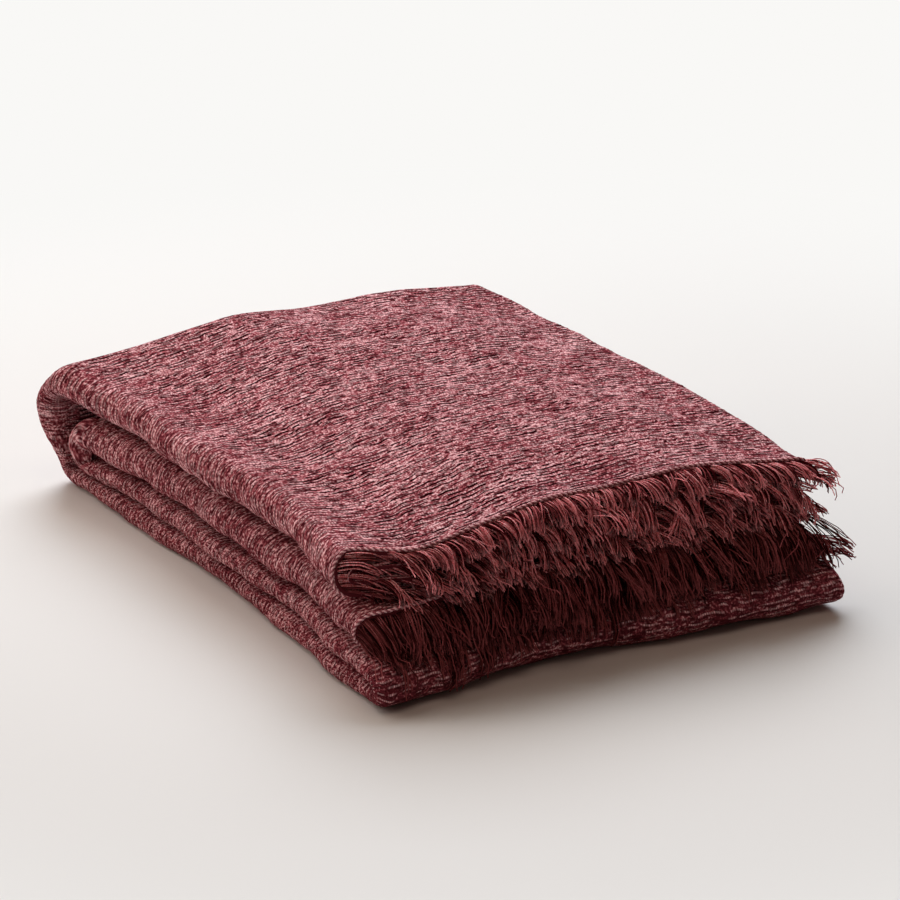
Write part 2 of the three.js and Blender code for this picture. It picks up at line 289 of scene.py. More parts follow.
@dataclass
class FoldedThrow:
    """The map from the flat cloth to the folded stack, as the solid's source has it."""

    thickness: float = 2.4
    left: float = 0.0
    right: float = 318.0
    front: float = -9.0
    back: float = 428.0
    middle_x: float = 146.1
    middle_y: float = 209.7
    top_end: float = 27.0
    inner_end: float = 19.0
    layer_depth: float = 4.6
    fold_radius: float = 2.0
    corner_radius: float = 2.4
    back_pocket: float = 8.0
    layers_a_strip: int = 4
    crown_left: float = 130.0
    crown_right: float = 210.0
    settle_share: float = 0.06      # how much the front sinks
    settle_depth: float = 120.0
    front_line_depth: float = 90.0
    wave_swing: float = 1.4
    wave_length: float = 210.0
    wave_step: float = 23.0
    drop_share: float = 0.75        # of the upper strip's pitch, over the whole drop at the back
    steepest_hang: float = math.radians(52)
    outermost_left: float = -8.0
    left_reach: float = 42.0        # how far in from each side the folds are uneven
    right_reach: float = 30.0
    front_reach: float = 20.0
    front_fade: tuple[float, float] = (26.0, 20.0)      # the height where it fades, over how much
    top_fade: tuple[float, float] = (15.0, 60.0)
    front_lift: float = 2.6         # how far the front fold lifts off the floor in places
    lift_run: float = 21.0
    lift_height: float = 12.0
    fold_top_depth: float = 12.0    # where the top of the front fold is measured
    fold_clear: float = 0.5
    free_right: float = 5.0         # how far yarns may stand out on the right
    soft_right: float = 7.0         # and how softly they are kept from more
    lowest_yarn: float = 2.0
    strips: tuple[Strip, ...] = (   # from the floor up
        Strip(3.4, 3.7, 3.5, 0, 3), Strip(3.6, 4.1, 3.9, 2, 2),
        Strip(7.0, 8.6, 7.9, 2, 2), Strip(7.2, 9.2, 8.2, 0, 0),
    )
    weft: tuple[WeftRow, ...] = (
        WeftRow(-1.5, -1.5, Edge.LEFT, inset=3, stand_back=-6),         # under run
        WeftRow(-1.5, 1.5, Edge.LEFT, outside=True),                    # outer left fold
        WeftRow(1.5, 1.5, Edge.RIGHT, uneven=True),                     # top run
        WeftRow(1.5, 0.5, Edge.RIGHT, outside=True),                    # right fold
        WeftRow(0.5, 0.5, Edge.LEFT, stand_back=-2),                    # second run
        WeftRow(0.5, -0.5, Edge.LEFT),                                  # inner left fold
        WeftRow(-0.5, -0.5, Edge.RIGHT, inset=6, stand_back=-5),        # third run
    )
    front_lines: tuple[FrontLine, ...] = (
        FrontLine(6, 7), FrontLine(-3, 4), FrontLine(-5, -4), FrontLine(-2, -9),
        FrontLine(2, -4), FrontLine(3, 2), FrontLine(5, 4), FrontLine(4, 6), FrontLine(0, 9),
    )
    side_lines: tuple[SideLine, ...] = (
        SideLine(-10, 9, -1), SideLine(40, 7, -3), SideLine(110, 0, -4), SideLine(200, 2, -4),
        SideLine(300, 4, -5), SideLine(380, 9, -10), SideLine(440, 12, -17),
    )
    creases: tuple[Crease, ...] = (
        Crease(60, 430, 250, 300, 26, 2.2),
        Crease(150, 430, 320, 330, 20, -2.0),
        Crease(20, 60, 120, 90, 22, 1.6),
        Crease(40, 200, 40, 330, 18, -1.4),
        Crease(-10, 405, -10, 440, 48, -9),
    )
    pockets: tuple[Pocket, ...] = (Pocket(8, 0, 425, 40, 7), Pocket(12, 0, 420, 60, 4))
    flare: Flare = Flare(0, 438, 52, -18, 10, 44, 30)
    ripples: tuple[Ripple, ...] = (
        Ripple(Region.LEFT_FOLDS, 0, 1.9, 27, 0, 15, 0),
        Ripple(Region.LEFT_FOLDS, 0, 0.7, 12, 9, 11, 3),
        Ripple(Region.RIGHT_FOLDS, 0, 1.5, 24, 40, 14, 0),
        Ripple(Region.FRONT_FOLDS, 1, 1.9, 26, 0, 11, 20),
        Ripple(Region.FRONT_FOLDS, 1, 0.8, 13, 5, 9, 31),
        Ripple(Region.TOP, 2, 1.1, 42, 7, 30, 0),
        Ripple(Region.TOP, 2, 0.45, 19, 0, 15, 30),
    )
    # The hang of the free ends at two heights: level as far as `from`, then round a bend.
    hang_heights: tuple[float, float] = (31.0, 90.0)
    hang_from: tuple[float, float] = (-3.0, 8.0)
    hang_bend: tuple[float, float] = (12.0, 18.0)
    corner_curve_back: float = 12.0     # how far the end on top curves back to the left folds
    corner_curve_width: float = 39.0
    warp: tuple[WarpRow, ...] = field(init=False)

    def __post_init__(self) -> None:
        """Work out the warp's rows and where each one starts."""
        reach = 1.5 * self.layer_depth + self.thickness / 2
        outer_back = self.back - reach
        fold_depth = self.fold_radius * self.layer_depth
        inner_back = outer_back - 2 * reach - self.back_pocket - fold_depth
        drop = 3 * self.layers_a_strip - 2 * self.corner_radius
        top_back = outer_back - self.corner_radius * self.layer_depth
        self.warp = (
            WarpRow(to=top_back, shows=True),                               # top strip
            WarpRow(turn=-90, radius=self.corner_radius, shows=True),       # back top corner
            WarpRow(drop=drop, shows=True),                                 # back drop
            WarpRow(turn=-90, radius=self.corner_radius, shows=True),       # back bottom corner
            WarpRow(to=self.front + reach + fold_depth),                    # floor strip
            WarpRow(turn=-180, radius=self.fold_radius, shows=True),        # front fold
            WarpRow(to=inner_back),                                         # lower strip
            WarpRow(turn=180, radius=self.fold_radius),                     # inner back fold
            WarpRow(to=self.inner_end),                                     # upper strip
        )
        place = (self.top_end, (len(self.strips) - 0.5) * self.layers_a_strip, 0.0)
        self.starts = []
        for row in self.warp:
            self.starts.append(place)
            place = row.place(place, 1.0, self.layer_depth)
        self.unevenness = SoftNoise(21)

    @property
    def weft_lengths(self) -> Array:
        """Length of each weft row on the flat cloth.

        Returns:
            Millimetres, from one selvedge to the other.
        """
        run = self.right - self.left - 3 * self.thickness
        pitch = sum(s.middle_pitch for s in self.strips) / len(self.strips)
        bends = [math.pi * abs(r.end - r.start) / 2 * pitch for r in self.weft]
        return np.array([run - r.inset if r.is_run else b for r, b in zip(self.weft, bends)])

    @property
    def warp_lengths(self) -> Array:
        """Length of each warp row on the flat cloth.

        Returns:
            Millimetres, from the fringed end on top to the one inside.
        """
        lengths = []
        for row, (y, _, _) in zip(self.warp, self.starts):
            if row.turn:
                lengths.append(math.radians(abs(row.turn)) * row.radius * self.layer_depth)
            elif row.drop:
                lengths.append(row.drop * self.strips[2].middle_pitch * self.drop_share)
            else:
                lengths.append(abs(row.to - y))
        return np.array(lengths)

    def strip_value(self, column: str, layer: Array) -> Array:
        """A column of the strips' table, between the middles of the strips."""
        values = np.array([getattr(s, column) for s in self.strips], float)
        return between(values, np.clip(layer / self.layers_a_strip - 0.5, 0, len(values) - 1))

    def side_line(self, column: str, y: Array) -> Array:
        """How far a side's folds stand out.

        Args:
            column: the side's column of the table.
            y: depth.

        Returns:
            Millimetres.
        """
        ys = np.array([line.y for line in self.side_lines], float)
        values = np.array([getattr(line, column) for line in self.side_lines], float)
        lower = np.clip(np.searchsorted(ys, y, side="right") - 1, 0, len(ys) - 2)
        t = smooth((y - ys[lower]) / (ys[lower + 1] - ys[lower]))
        return mix(values[lower], values[lower + 1], t)

    def front_line(self, column: str, across: Array, eased: bool = False) -> Array:
        """A column of the front lines' table, at a share of the way across."""
        line = np.array([getattr(f, column) for f in self.front_lines], float)
        return between(line, across * (len(line) - 1), eased)

    def crease_rise(self, x: Array, y: Array) -> Array:
        """How far the creases lift the top.

        Args:
            x: place across.
            y: depth.

        Returns:
            Millimetres.
        """
        rise = np.zeros_like(x)
        for c in self.creases:
            ax, ay = c.x1 - c.x0, c.y1 - c.y0
            t = np.clip(((x - c.x0) * ax + (y - c.y0) * ay) / (ax * ax + ay * ay), 0, 1)
            rise += c.rise * hump(np.hypot(x - c.x0 - t * ax, y - c.y0 - t * ay), c.spread)
        return rise

    def height(self, layer: Array, x: Array, y: Array) -> Array:
        """Height of the cloth's middle. The lowest layer lies flat on the floor.

        Args:
            layer: counted from the floor.
            x: place across.
            y: depth.

        Returns:
            Millimetres.
        """
        lowest, strips = 0.5, len(self.strips)
        rise = smooth((x - self.left) / self.crown_left)
        fall = smooth((x - self.crown_right) / (self.right - self.crown_right))
        settle = 1 - self.settle_share * smooth((self.settle_depth - y) / self.settle_depth)
        z = np.full_like(x, self.thickness / 2)
        for i, strip in enumerate(self.strips):
            bottom = max(i * self.layers_a_strip, lowest)
            top = np.inf if i == strips - 1 else (i + 1) * self.layers_a_strip
            pitch = mix(mix(strip.left_pitch, strip.middle_pitch, rise), strip.right_pitch, fall)
            z += np.maximum(np.minimum(layer, top) - bottom, 0) * pitch * settle
        for p in self.pockets:
            z += p.gap * smooth(layer - p.layer + 0.5) * hump(np.hypot(x - p.x, y - p.y), p.spread)
        share = np.maximum((layer - lowest) / (strips * self.layers_a_strip), 0)
        return z + self.crease_rise(x, y) * share ** 2

    def weft_place(self, u: Array, strip_layer: Array, y: Array) -> tuple[Array, Array]:
        """Where the weft fold puts a yarn.

        Args:
            u: place along the weft, counted in its rows.
            strip_layer: the layer of the strip's middle.
            y: depth of the strip.

        Returns:
            x, and the layer above the strip's middle.
        """
        index = np.clip(np.floor(u), 0, len(self.weft) - 1).astype(int)
        t = u - index
        way = (y + strip_layer * self.wave_step) / self.wave_length
        wander = self.wave_swing * np.sin(2 * np.pi * way)
        half = self.thickness / 2
        left = (self.left - self.side_line("left_out", y) + self.strip_value("left_in", strip_layer)
                + wander + half + 1.5 * self.strip_value("left_pitch", strip_layer))
        right = (self.right + self.side_line("right_out", y)
                 - self.strip_value("right_in", strip_layer)
                 + wander - half - 0.5 * self.strip_value("right_pitch", strip_layer))
        x, layer = np.zeros_like(u), np.zeros_like(u)
        for i, row in enumerate(self.weft):
            here = index == i
            if row.is_run:
                near, far = (right, left) if row.side is Edge.LEFT else (left, right)
                first = near - (row.inset if i == 0 else 0)
                last = far - (row.inset if i == len(self.weft) - 1 else 0)
                x = np.where(here, mix(first, last, t), x)
                layer = np.where(here, row.start, layer)
            else:
                pitch = self.strip_value(f"{row.side.value}_pitch", strip_layer)
                bulge = abs(row.end - row.start) / 2 * pitch * np.sin(np.pi * t)
                x = np.where(here, left - bulge if row.side is Edge.LEFT else right + bulge, x)
                turned = (row.start + row.end) / 2 + (row.start - row.end) / 2 * np.cos(np.pi * t)
                layer = np.where(here, turned, layer)
        return x, layer

    def warp_place(self, v: Array) -> tuple[Array, Array, Array]:
        """Where the warp fold puts the strip's middle.

        Args:
            v: place along the warp, counted in its rows.

        Returns:
            Depth, layer from the floor, and heading in radians.
        """
        index = np.clip(np.floor(v), 0, len(self.warp) - 1).astype(int)
        rows = [np.broadcast_arrays(v, *row.place(start, v - index, self.layer_depth))[1:]
                for row, start in zip(self.warp, self.starts)]
        y, layer, heading = np.array(rows)[index, :, np.arange(len(v))].T
        return y, layer, heading

    def stand_back(self, u: Array) -> Array:
        """How far a yarn's fringed ends stand back from the end's own line.

        Args:
            u: place along the weft, counted in its rows.

        Returns:
            Millimetres.
        """
        last = len(self.weft) - 1
        index = np.clip(np.floor(u), 0, last).astype(int)
        t = u - index
        first_line, last_line = self.front_lines[0].end_back, self.front_lines[-1].end_back
        starts, ends = (np.array([r.stand_back + r.uneven * line for r in self.weft], float)
                        for line in (first_line, last_line))
        fold = mix(ends[np.maximum(index - 1, 0)], starts[np.minimum(index + 1, last)], t)
        uneven, is_run = (np.array(flags)[index] for flags in (
            [r.uneven for r in self.weft], [r.is_run for r in self.weft]))
        own_line = starts[index] - first_line + self.front_line("end_back", t)
        return np.where(is_run, np.where(uneven, own_line, starts[index]), fold)

    def fold_out(self, x: Array) -> Array:
        """How far the front folds stand out at a place across."""
        across = np.clip((x - self.left) / (self.right - self.left), 0, 1)
        return self.front_line("fold_out", across, eased=True)

    def is_free(self, v: Array) -> Array:
        """Whether warp v is on one of the two strips that end in a fringe."""
        return (v < 1) | (v > len(self.warp) - 1)

    def hang(self, place: Array) -> Array:
        """Bend level places of a free end down over what lies below them.

        Args:
            place: points in millimetres.

        Returns:
            The points after the bend.
        """
        low, high = self.hang_heights
        t = np.clip((place[:, 2] - low) / (high - low), 0, 1)
        bend = mix(self.hang_bend[0], self.hang_bend[1], t)
        past = np.maximum(mix(self.hang_from[0], self.hang_from[1], t) - place[:, 1], 0)
        angle = np.minimum(past / bend, self.steepest_hang)
        tail = past - angle * bend
        hung = place.copy()
        hung[:, 1] += past - bend * np.sin(angle) - tail * np.cos(angle)
        hung[:, 2] -= bend * (1 - np.cos(angle)) + tail * np.sin(angle)
        return hung

    def level(self, u: Array, v: Array) -> Array:
        """The middle of the cloth before its ends hang.

        Args:
            u: weft places.
            v: warp places.

        Returns:
            Points in millimetres from the near corner.
        """
        warp_y, warp_layer, angle = self.warp_place(v)
        x, layer = self.weft_place(u, warp_layer, warp_y)
        depth = warp_y - np.sin(angle) * layer * self.layer_depth
        from_end = np.where(v < 1, v, len(self.warp) - v)
        corner = self.corner_curve_back * (1 - smooth((x - self.left) / self.corner_curve_width))
        end_back = self.stand_back(u) + np.where(v < 1, corner, 0)
        out = -self.fold_out(x) * smooth(1 - depth / self.front_line_depth)
        y = depth + np.where(self.is_free(v), end_back * (1 - smooth(from_end)), out)
        z = self.height(warp_layer + np.cos(angle) * layer, x, y)
        beside = hump(np.hypot(x - self.flare.x, y - self.flare.y), self.flare.spread)
        flare = beside * hump(z - self.flare.z, self.flare.spread_z)
        return np.stack([x + self.flare.out_x * flare, y + self.flare.out_y * flare, z], axis=-1)

    def cloth(self, u: Array, v: Array) -> Array:
        """The middle of the cloth, in millimetres."""
        level = self.level(u, v)
        return np.where(self.is_free(v)[:, None], self.hang(level), level)

    def normals(self, u: Array, v: Array) -> Array:
        """Directions out of the cloth's face: up on the very top.

        Args:
            u: weft places.
            v: warp places.

        Returns:
            Unit vectors.
        """
        along_u = self.cloth(u + TINY, v) - self.cloth(u - TINY, v)
        along_v = self.cloth(u, v + TINY) - self.cloth(u, v - TINY)
        return unit(np.cross(along_u, along_v))

    def near_end(self, inside: float, on_top: bool, count: int) -> Array:
        """The warp place a little inside a fringed end, as often as it is needed.

        Args:
            inside: how far from the end.
            on_top: which end.
            count: how often.

        Returns:
            Warp places.
        """
        lengths = self.warp_lengths
        v = inside / lengths[0] if on_top else len(self.warp) - inside / lengths[-1]
        return np.full(count, v)

    def edge_directions(self, u: Array, v: Array) -> Array:
        """Directions along a fringed end.

        Args:
            u: weft places.
            v: warp places.

        Returns:
            Unit vectors.
        """
        return unit(self.cloth(u + TINY, v) - self.cloth(u - TINY, v))

    def ripple(self, points: Array) -> Array:
        """Small unevenness, the same for all that lies at a place, so no two layers meet.

        Args:
            points: places in millimetres.

        Returns:
            The places after their small moves.
        """
        x, y, z = points.T
        fade_z, fade_over = self.front_fade
        top_z, top_over = self.top_fade
        front = hump(np.maximum(y - self.front, 0), self.front_reach)
        front = front * (1 - smooth((z - fade_z) / fade_over))
        felt = {
            Region.LEFT_FOLDS: hump(np.maximum(x - self.outermost_left, 0), self.left_reach),
            Region.RIGHT_FOLDS: hump(np.maximum(self.right - x, 0), self.right_reach),
            Region.FRONT_FOLDS: front,
            Region.TOP: smooth((z - top_z) / top_over),
        }
        moved = points.copy()
        for r in self.ripples:
            a, b = (points[:, k] for k in range(3) if k != r.axis)
            noise = self.unevenness.at(a / r.run + r.start, b / r.run_up + r.start_up)
            moved[:, r.axis] += felt[r.region] * r.swing * noise
        lifts = np.maximum(self.unevenness.at(x / self.lift_run + 80, np.full_like(x, 3.0)), 0)
        moved[:, 2] += self.front_lift * front * (1 - smooth(z / self.lift_height)) * lifts
        return moved

    def clear_of_front_fold(self, points: Array, gap: float) -> Array:
        """Move loose yarns out of the front fold and off the floor.

        Args:
            points: places in millimetres.
            gap: how far they keep away.

        Returns:
            The places, moved where they have to be.
        """
        x, y, z = points.T.copy()
        layers_below = np.full_like(x, 2 * self.layers_a_strip - 0.5)     # of the lower two strips
        top = self.height(layers_below, x, np.full_like(x, self.fold_top_depth))
        top = top + self.thickness / 2 + self.fold_clear
        reach = 1.5 * self.layer_depth + self.thickness / 2 + self.fold_radius * self.layer_depth
        middle = self.front + reach - self.fold_out(x)
        share = np.hypot((y - middle) / (reach + gap), (z - top / 2) / (top / 2 + gap))
        grow = np.where((y < middle) & (share < 1), 1 / np.maximum(share, 0.2), 1.0)
        y = middle + (y - middle) * grow
        z = top / 2 + (z - top / 2) * grow
        z = np.where(y >= middle, np.maximum(z, top + gap), z)
        past = np.maximum(x - self.right - self.free_right, 0)
        x = x - past + past / (1 + past / self.soft_right)
        return np.stack([x, y, np.maximum(z, self.lowest_yarn)], axis=-1)

    def to_frame(self, points: Array) -> Array:
        """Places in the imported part's frame, in metres."""
        return (points - np.array([self.middle_x, self.middle_y, 0.0])) * MM


# ---------------------------------------------------------------- wiring of nodes


def add(tree: bpy.types.NodeTree, kind: str, *inputs: object, out: int | str = 0,
        **settings: object) -> "Wire":
    """Add a node with its settings and links.

    Args:
        tree: the node tree.
        kind: the node's type name.
        inputs: its inputs in order, None to leave one as it is, or one dict of them by name or
            number. Each is a value, or a wire to link.
        out: the output that is read.
        settings: properties of the node.

    Returns:
        The output.
    """
    node = tree.nodes.new(kind)
    for name, value in settings.items():
        setattr(node, name, value)
    given = inputs[0] if inputs and isinstance(inputs[0], dict) else dict(enumerate(inputs))
    for key, value in given.items():
        if isinstance(value, Wire):
            tree.links.new(value.socket, node.inputs[key])
        elif value is not None:
            node.inputs[key].default_value = value
    return Wire(tree, node.outputs[out] if len(node.outputs) else None)


@dataclass(frozen=True)
class Wire:
    """A value that runs through a node tree, and takes Python's own signs for sums."""

    tree: bpy.types.NodeTree
    socket: bpy.types.NodeSocket | None

    def also(self, out: int | str) -> "Wire":
        """Another output of the same node."""
        return Wire(self.tree, self.socket.node.outputs[out])

    def sum(self, operation: str, *others: object) -> "Wire":
        """This value and others, put together as numbers or as vectors.

        Args:
            operation: the math node's operation.
            others: values, or wires.

        Returns:
            The result.
        """
        vectors = self.socket.type in ("VECTOR", "RGBA")
        kind = "ShaderNodeVectorMath" if vectors else "ShaderNodeMath"
        return add(self.tree, kind, self, *others, operation=operation)

    def __add__(self, other: object) -> "Wire":
        """Both together."""
        return self.sum("ADD", other)

    def __sub__(self, other: object) -> "Wire":
        """This less the other."""
        return self.sum("SUBTRACT", other)

    def __rsub__(self, other: float) -> "Wire":
        """A number less this."""
        return self * -1.0 + other

    def __mul__(self, other: object) -> "Wire":
        """This times the other."""
        return self.sum("MULTIPLY", other)

    def __truediv__(self, other: object) -> "Wire":
        """This over the other."""
        return self.sum("DIVIDE", other)

    def times(self, scale: object) -> "Wire":
        """This vector, made longer or shorter."""
        return self.sum("SCALE", None, None, scale)

    def rise(self, low: float, high: float) -> "Wire":
        """0 below low, 1 above high, eased in between."""
        return add(self.tree, "ShaderNodeMapRange", self, low, high,
                   interpolation_type="SMOOTHSTEP")


# ---------------------------------------------------------------- finishes


def linear(hex_colour: int) -> tuple[float, float, float, float]:
    """Turn an sRGB colour into linear light.

    Args:
        hex_colour: the colour as 0xRRGGBB.

    Returns:
        Red, green, blue and 1.
    """
    channels = [((hex_colour >> shift) & 255) / 255 for shift in (16, 8, 0)]
    light = [c / 12.92 if c <= 0.04045 else ((c + 0.055) / 1.055) ** 2.4 for c in channels]
    return (*light, 1.0)


def new_material(name: str) -> tuple[bpy.types.Material, bpy.types.NodeTree]:
    """Start a material.

    Args:
        name: what it is.

    Returns:
        The material, and its empty node tree.
    """
    material = bpy.data.materials.new(name)
    material.use_nodes = True
    material.node_tree.nodes.clear()
    return material, material.node_tree


def grain(along: Wire, across: Wire, detail: float = 0.0) -> Wire:
    """Unevenness over two coordinates, counted in its own grains.

    Args:
        along: first coordinate, in grains.
        across: second coordinate, in grains.
        detail: how many finer grains lie on it.

    Returns:
        The noise, from 0 to 1.
    """
    place = add(along.tree, "ShaderNodeCombineXYZ", along, across)
    return add(along.tree, "ShaderNodeTexNoise", {
        "Vector": place, "Scale": 1.0, "Detail": detail, "Roughness": 0.6,
    }, noise_dimensions="2D")


def dye(base: int, coats: Iterable[tuple[Wire, int]]) -> Wire:
    """Lay colours over a base.

    Args:
        base: the first colour.
        coats: how much of each next colour, and the colour.

    Returns:
        The colour.
    """
    colour: object = linear(base)
    for share, coat in coats:
        layers = {0: share, 6: colour, 7: linear(coat)}
        colour = add(share.tree, "ShaderNodeMix", layers, out=2, data_type="RGBA")
    return colour


class Yarns(Enum):
    """What a change of shade tells apart across the yarns."""

    ROW = "one chenille row from the next"
    LOCK = "locks of pile side by side in a row"
    TUFT = "single tufts"
    PLACE = "stretches of many rows"


@dataclass(frozen=True)
class Fleck:
    """One change of shade in the dyed yarn."""

    run: float              # along a yarn
    yarns: Yarns
    apart: float            # noise from one to the next
    detail: float
    share: float            # of the shade


@dataclass(frozen=True)
class Dash:
    """Broken lines along the rows. Places across a row run from 0 to 1."""

    middle: float
    apart: float            # noise from row to row, and its start: no two lines match
    start: float
    absent: float           # noise below which there is no dash
    full: float             # noise above which there is one
    core: float = 0.16      # half of its width, where it starts to fade
    edge: float = 0.27      # where it has faded


@dataclass(frozen=True)
class ChenilleFinish:
    """Space-dyed viscose chenille: velvety rows, flecked light and dark, with dark grooves.

    The eye sees soft rows that change from burgundy to pale pink along each yarn, short dark
    dashes where two rows part, which are painted shade of the grooves, pale lips on the rows,
    which are a painted highlight, and lines of small pale dots where the binding warp crosses.
    The folds are painted darker, as shade.
    """

    row_pitch: float = 4.0          # weft row to weft row
    dash_run: float = 9.0           # how far a gap or a pale lip runs
    locks_a_row: int = 3            # side by side
    tuft: float = 1.05              # across a tuft, drawn coarser than the real 0.4 mm to show
    wave_run: float = 12.0          # rows are never quite straight, and do not all wave alike
    wave_rows: float = 4.5
    dot_pitch: float = 1.6          # binding warp
    ridge: float = 0.8              # height that the bump stands for
    flecks: tuple[Fleck, ...] = (
        Fleck(20.0, Yarns.ROW, 7.37, 1.0, 0.5),
        Fleck(7.0, Yarns.LOCK, 5.31, 2.0, 1.5),
        Fleck(2.2, Yarns.TUFT, 0.75, 1.0, 1.4),
        Fleck(1.365, Yarns.TUFT, 0.8, 0.0, 1.2),
        Fleck(55.0, Yarns.PLACE, 1 / 6, 1.0, 0.5),
    )
    # The gap and the crack are painted shade where two rows part; the lip is a painted highlight.
    gap: Dash = Dash(0.26, 3.1, 90.0, 0.41, 0.48)
    painted_crack_shade: Dash = Dash(0.72, 5.7, 20.0, 0.52, 0.6)
    painted_lip_highlight: Dash = Dash(0.6, 4.3, 30.0, 0.46, 0.53, 0.09, 0.2)
    shade: float = 0.53             # middle shade where the cloth lies flat
    left_fold_painted_shade: float = 0.08   # how much darker the folds are painted: painted shade, as they face away from the light
    front_fold_painted_shade: float = 0.3
    # Painted shade in the grooves between rows, darker than the ground weave.
    painted_groove_shade: int = 0x26070B
    wine: int = 0x662730
    rose: int = 0xA4535B
    # Pale flecks of the dye, and also the painted highlight on the rows' lips.
    blush_and_lip_highlight: int = 0xF6C4C8
    ground: int = 0x521C22
    sheen_tint: int = 0xD88A8E
    roughness: float = 0.95
    sheen: float = 0.06

    def dashes(self, dash: Dash, along: Wire, row: Wire, in_row: Wire) -> Wire:
        """Broken lines along the rows.

        Args:
            dash: the lines' sizes.
            along: millimetres along the yarn.
            row: the row's number.
            in_row: place across the row, from 0 to 1.

        Returns:
            1 on a dash, 0 beside it.
        """
        here = grain(along / self.dash_run, row * dash.apart + dash.start, 1.0)
        beside = (in_row - dash.middle).sum("ABSOLUTE").rise(dash.core, dash.edge)
        return (1.0 - beside) * here.rise(dash.absent, dash.full)

    def build(self) -> bpy.types.Material:
        """Make the material.

        Returns:
            The chenille material, which reads the piece's own UV maps in metres.
        """
        material, tree = new_material("space_dyed_chenille")
        weave, bend = (add(tree, "ShaderNodeSeparateXYZ", add(tree, "ShaderNodeUVMap", uv_map=name))
                       for name in ("weave", "bend"))
        along = weave * (1 / MM)
        # Where the cloth bends round a fold its rows lie straighter, and the painted shade in its
        # gaps is paler.
        opened = bend.sum("MAXIMUM", bend.also(1))
        rows = weave.also(1) * (1 / (self.row_pitch * MM))
        wave = grain(along / self.wave_run, rows / self.wave_rows, 1.0)
        rows = wave * (opened * -0.3 + 1.1) + rows
        row, in_row = rows.sum("FLOOR"), rows.sum("FRACT")
        across = {
            Yarns.ROW: row, Yarns.LOCK: (rows * self.locks_a_row).sum("FLOOR"),
            Yarns.TUFT: rows * (self.row_pitch / self.tuft), Yarns.PLACE: rows,
        }
        # The folds are painted darker: painted shade, as they face away from the light.
        shade = self.shade - (bend.also(1) * self.front_fold_painted_shade + bend * self.left_fold_painted_shade)
        pile = None
        for fleck in self.flecks:
            value = grain(along / fleck.run, across[fleck.yarns] * fleck.apart, fleck.detail)
            shade = shade + (value - 0.5) * fleck.share
            pile = value if pile is None and fleck.yarns is Yarns.TUFT else pile

        # Where two rows part, dark dashes of uneven depth: painted shade in the grooves; on the
        # rows, pale beaded lips: a painted highlight, dotted where the binding warp crosses.
        gap, painted_crack_shade, painted_lip_highlight = (self.dashes(dash, along, row, in_row)
                           for dash in (self.gap, self.painted_crack_shade, self.painted_lip_highlight))
        depth = grain(along / 17.0, row * 2.7 + 55.0).rise(0.3, 0.6) * 0.25 + 0.8
        gap = gap * depth * (opened * -0.5 + 1.0)
        beads = (along * (2 * math.pi / self.dot_pitch)).sum("SINE").rise(-0.6, 0.6)
        beads = beads * grain(along / 2.3, row * 3.9 + 70.0).rise(0.35, 0.6)
        colour = dye(self.wine, (
            (shade.rise(0.1, 0.5), self.rose), (shade.rise(0.5, 1.1), self.blush_and_lip_highlight),
            (gap, self.painted_groove_shade), (painted_crack_shade * 0.65, self.painted_groove_shade),
            # The pale lips are a painted highlight, dotted by the binding warp.
            (painted_lip_highlight * (beads * 0.75 + 0.25), self.blush_and_lip_highlight),
        ))
        crest = (in_row * math.pi).sum("SINE")
        height = pile * 0.5 + crest * 0.4 - gap * 0.7
        bump = add(tree, "ShaderNodeBump", {
            "Strength": 0.8, "Distance": self.ridge * MM, "Height": height})
        shader = add(tree, "ShaderNodeBsdfPrincipled", {
            "Base Color": colour, "Roughness": self.roughness, "IOR": 1.46,
            "Sheen Weight": self.sheen, "Sheen Roughness": 0.35,
            "Sheen Tint": linear(self.sheen_tint), "Specular IOR Level": 0.0, "Normal": bump,
        })
        add(tree, "ShaderNodeOutputMaterial", shader)
        return material

    def build_ground(self) -> bpy.types.Material:
        """Make the dark ground weave, which shows only at the cut edges.

        Returns:
            The ground's material.
        """
        material, tree = new_material("dark_ground_weave")
        shader = add(tree, "ShaderNodeBsdfPrincipled", {
            "Base Color": linear(self.ground), "Roughness": self.roughness,
            "Specular IOR Level": 0.0,
        })
        add(tree, "ShaderNodeOutputMaterial", shader)
        return material


@dataclass(frozen=True)
class YarnFinish:
    """Twisted warp yarn: matt, each strand its own shade, its lit plies and its tip paler."""

    name: str
    dark: int
    light: int
    # The tip colour also paints the highlight on lit plies.
    tip: int
    roughness: float = 0.55
    plies: float = 30.0             # changes of shade along a strand
    strand_apart: float = 400.0     # so that no two strands change alike

    def build(self) -> bpy.types.Material:
        """Make the material.

        Returns:
            The yarn material, which reads the strand's own shade and the way along it.
        """
        material, tree = new_material(self.name)
        shade = add(tree, "ShaderNodeSeparateXYZ", add(tree, "ShaderNodeUVMap", uv_map="strand"))
        way = shade.also(1)
        ply = grain(way * self.plies, shade * self.strand_apart)
        # Lit plies on the paler strands, fading towards the tip, are a painted highlight in the tip
        # colour.
        painted_ply_highlight = ply.rise(0.35, 0.6) * shade.rise(0.4, 0.75) * (way * -0.7 + 1.0)
        colour = dye(self.dark, (
            (shade.rise(0.25, 0.65), self.light), (painted_ply_highlight, self.tip),
            (way.rise(0.8, 1.0) * 0.2, self.tip),
        ))
        shader = add(tree, "ShaderNodeBsdfPrincipled", {
            "Base Color": colour, "Roughness": self.roughness, "IOR": 1.5,
            "Specular IOR Level": 0.0,
        })
        add(tree, "ShaderNodeOutputMaterial", shader)
        return material


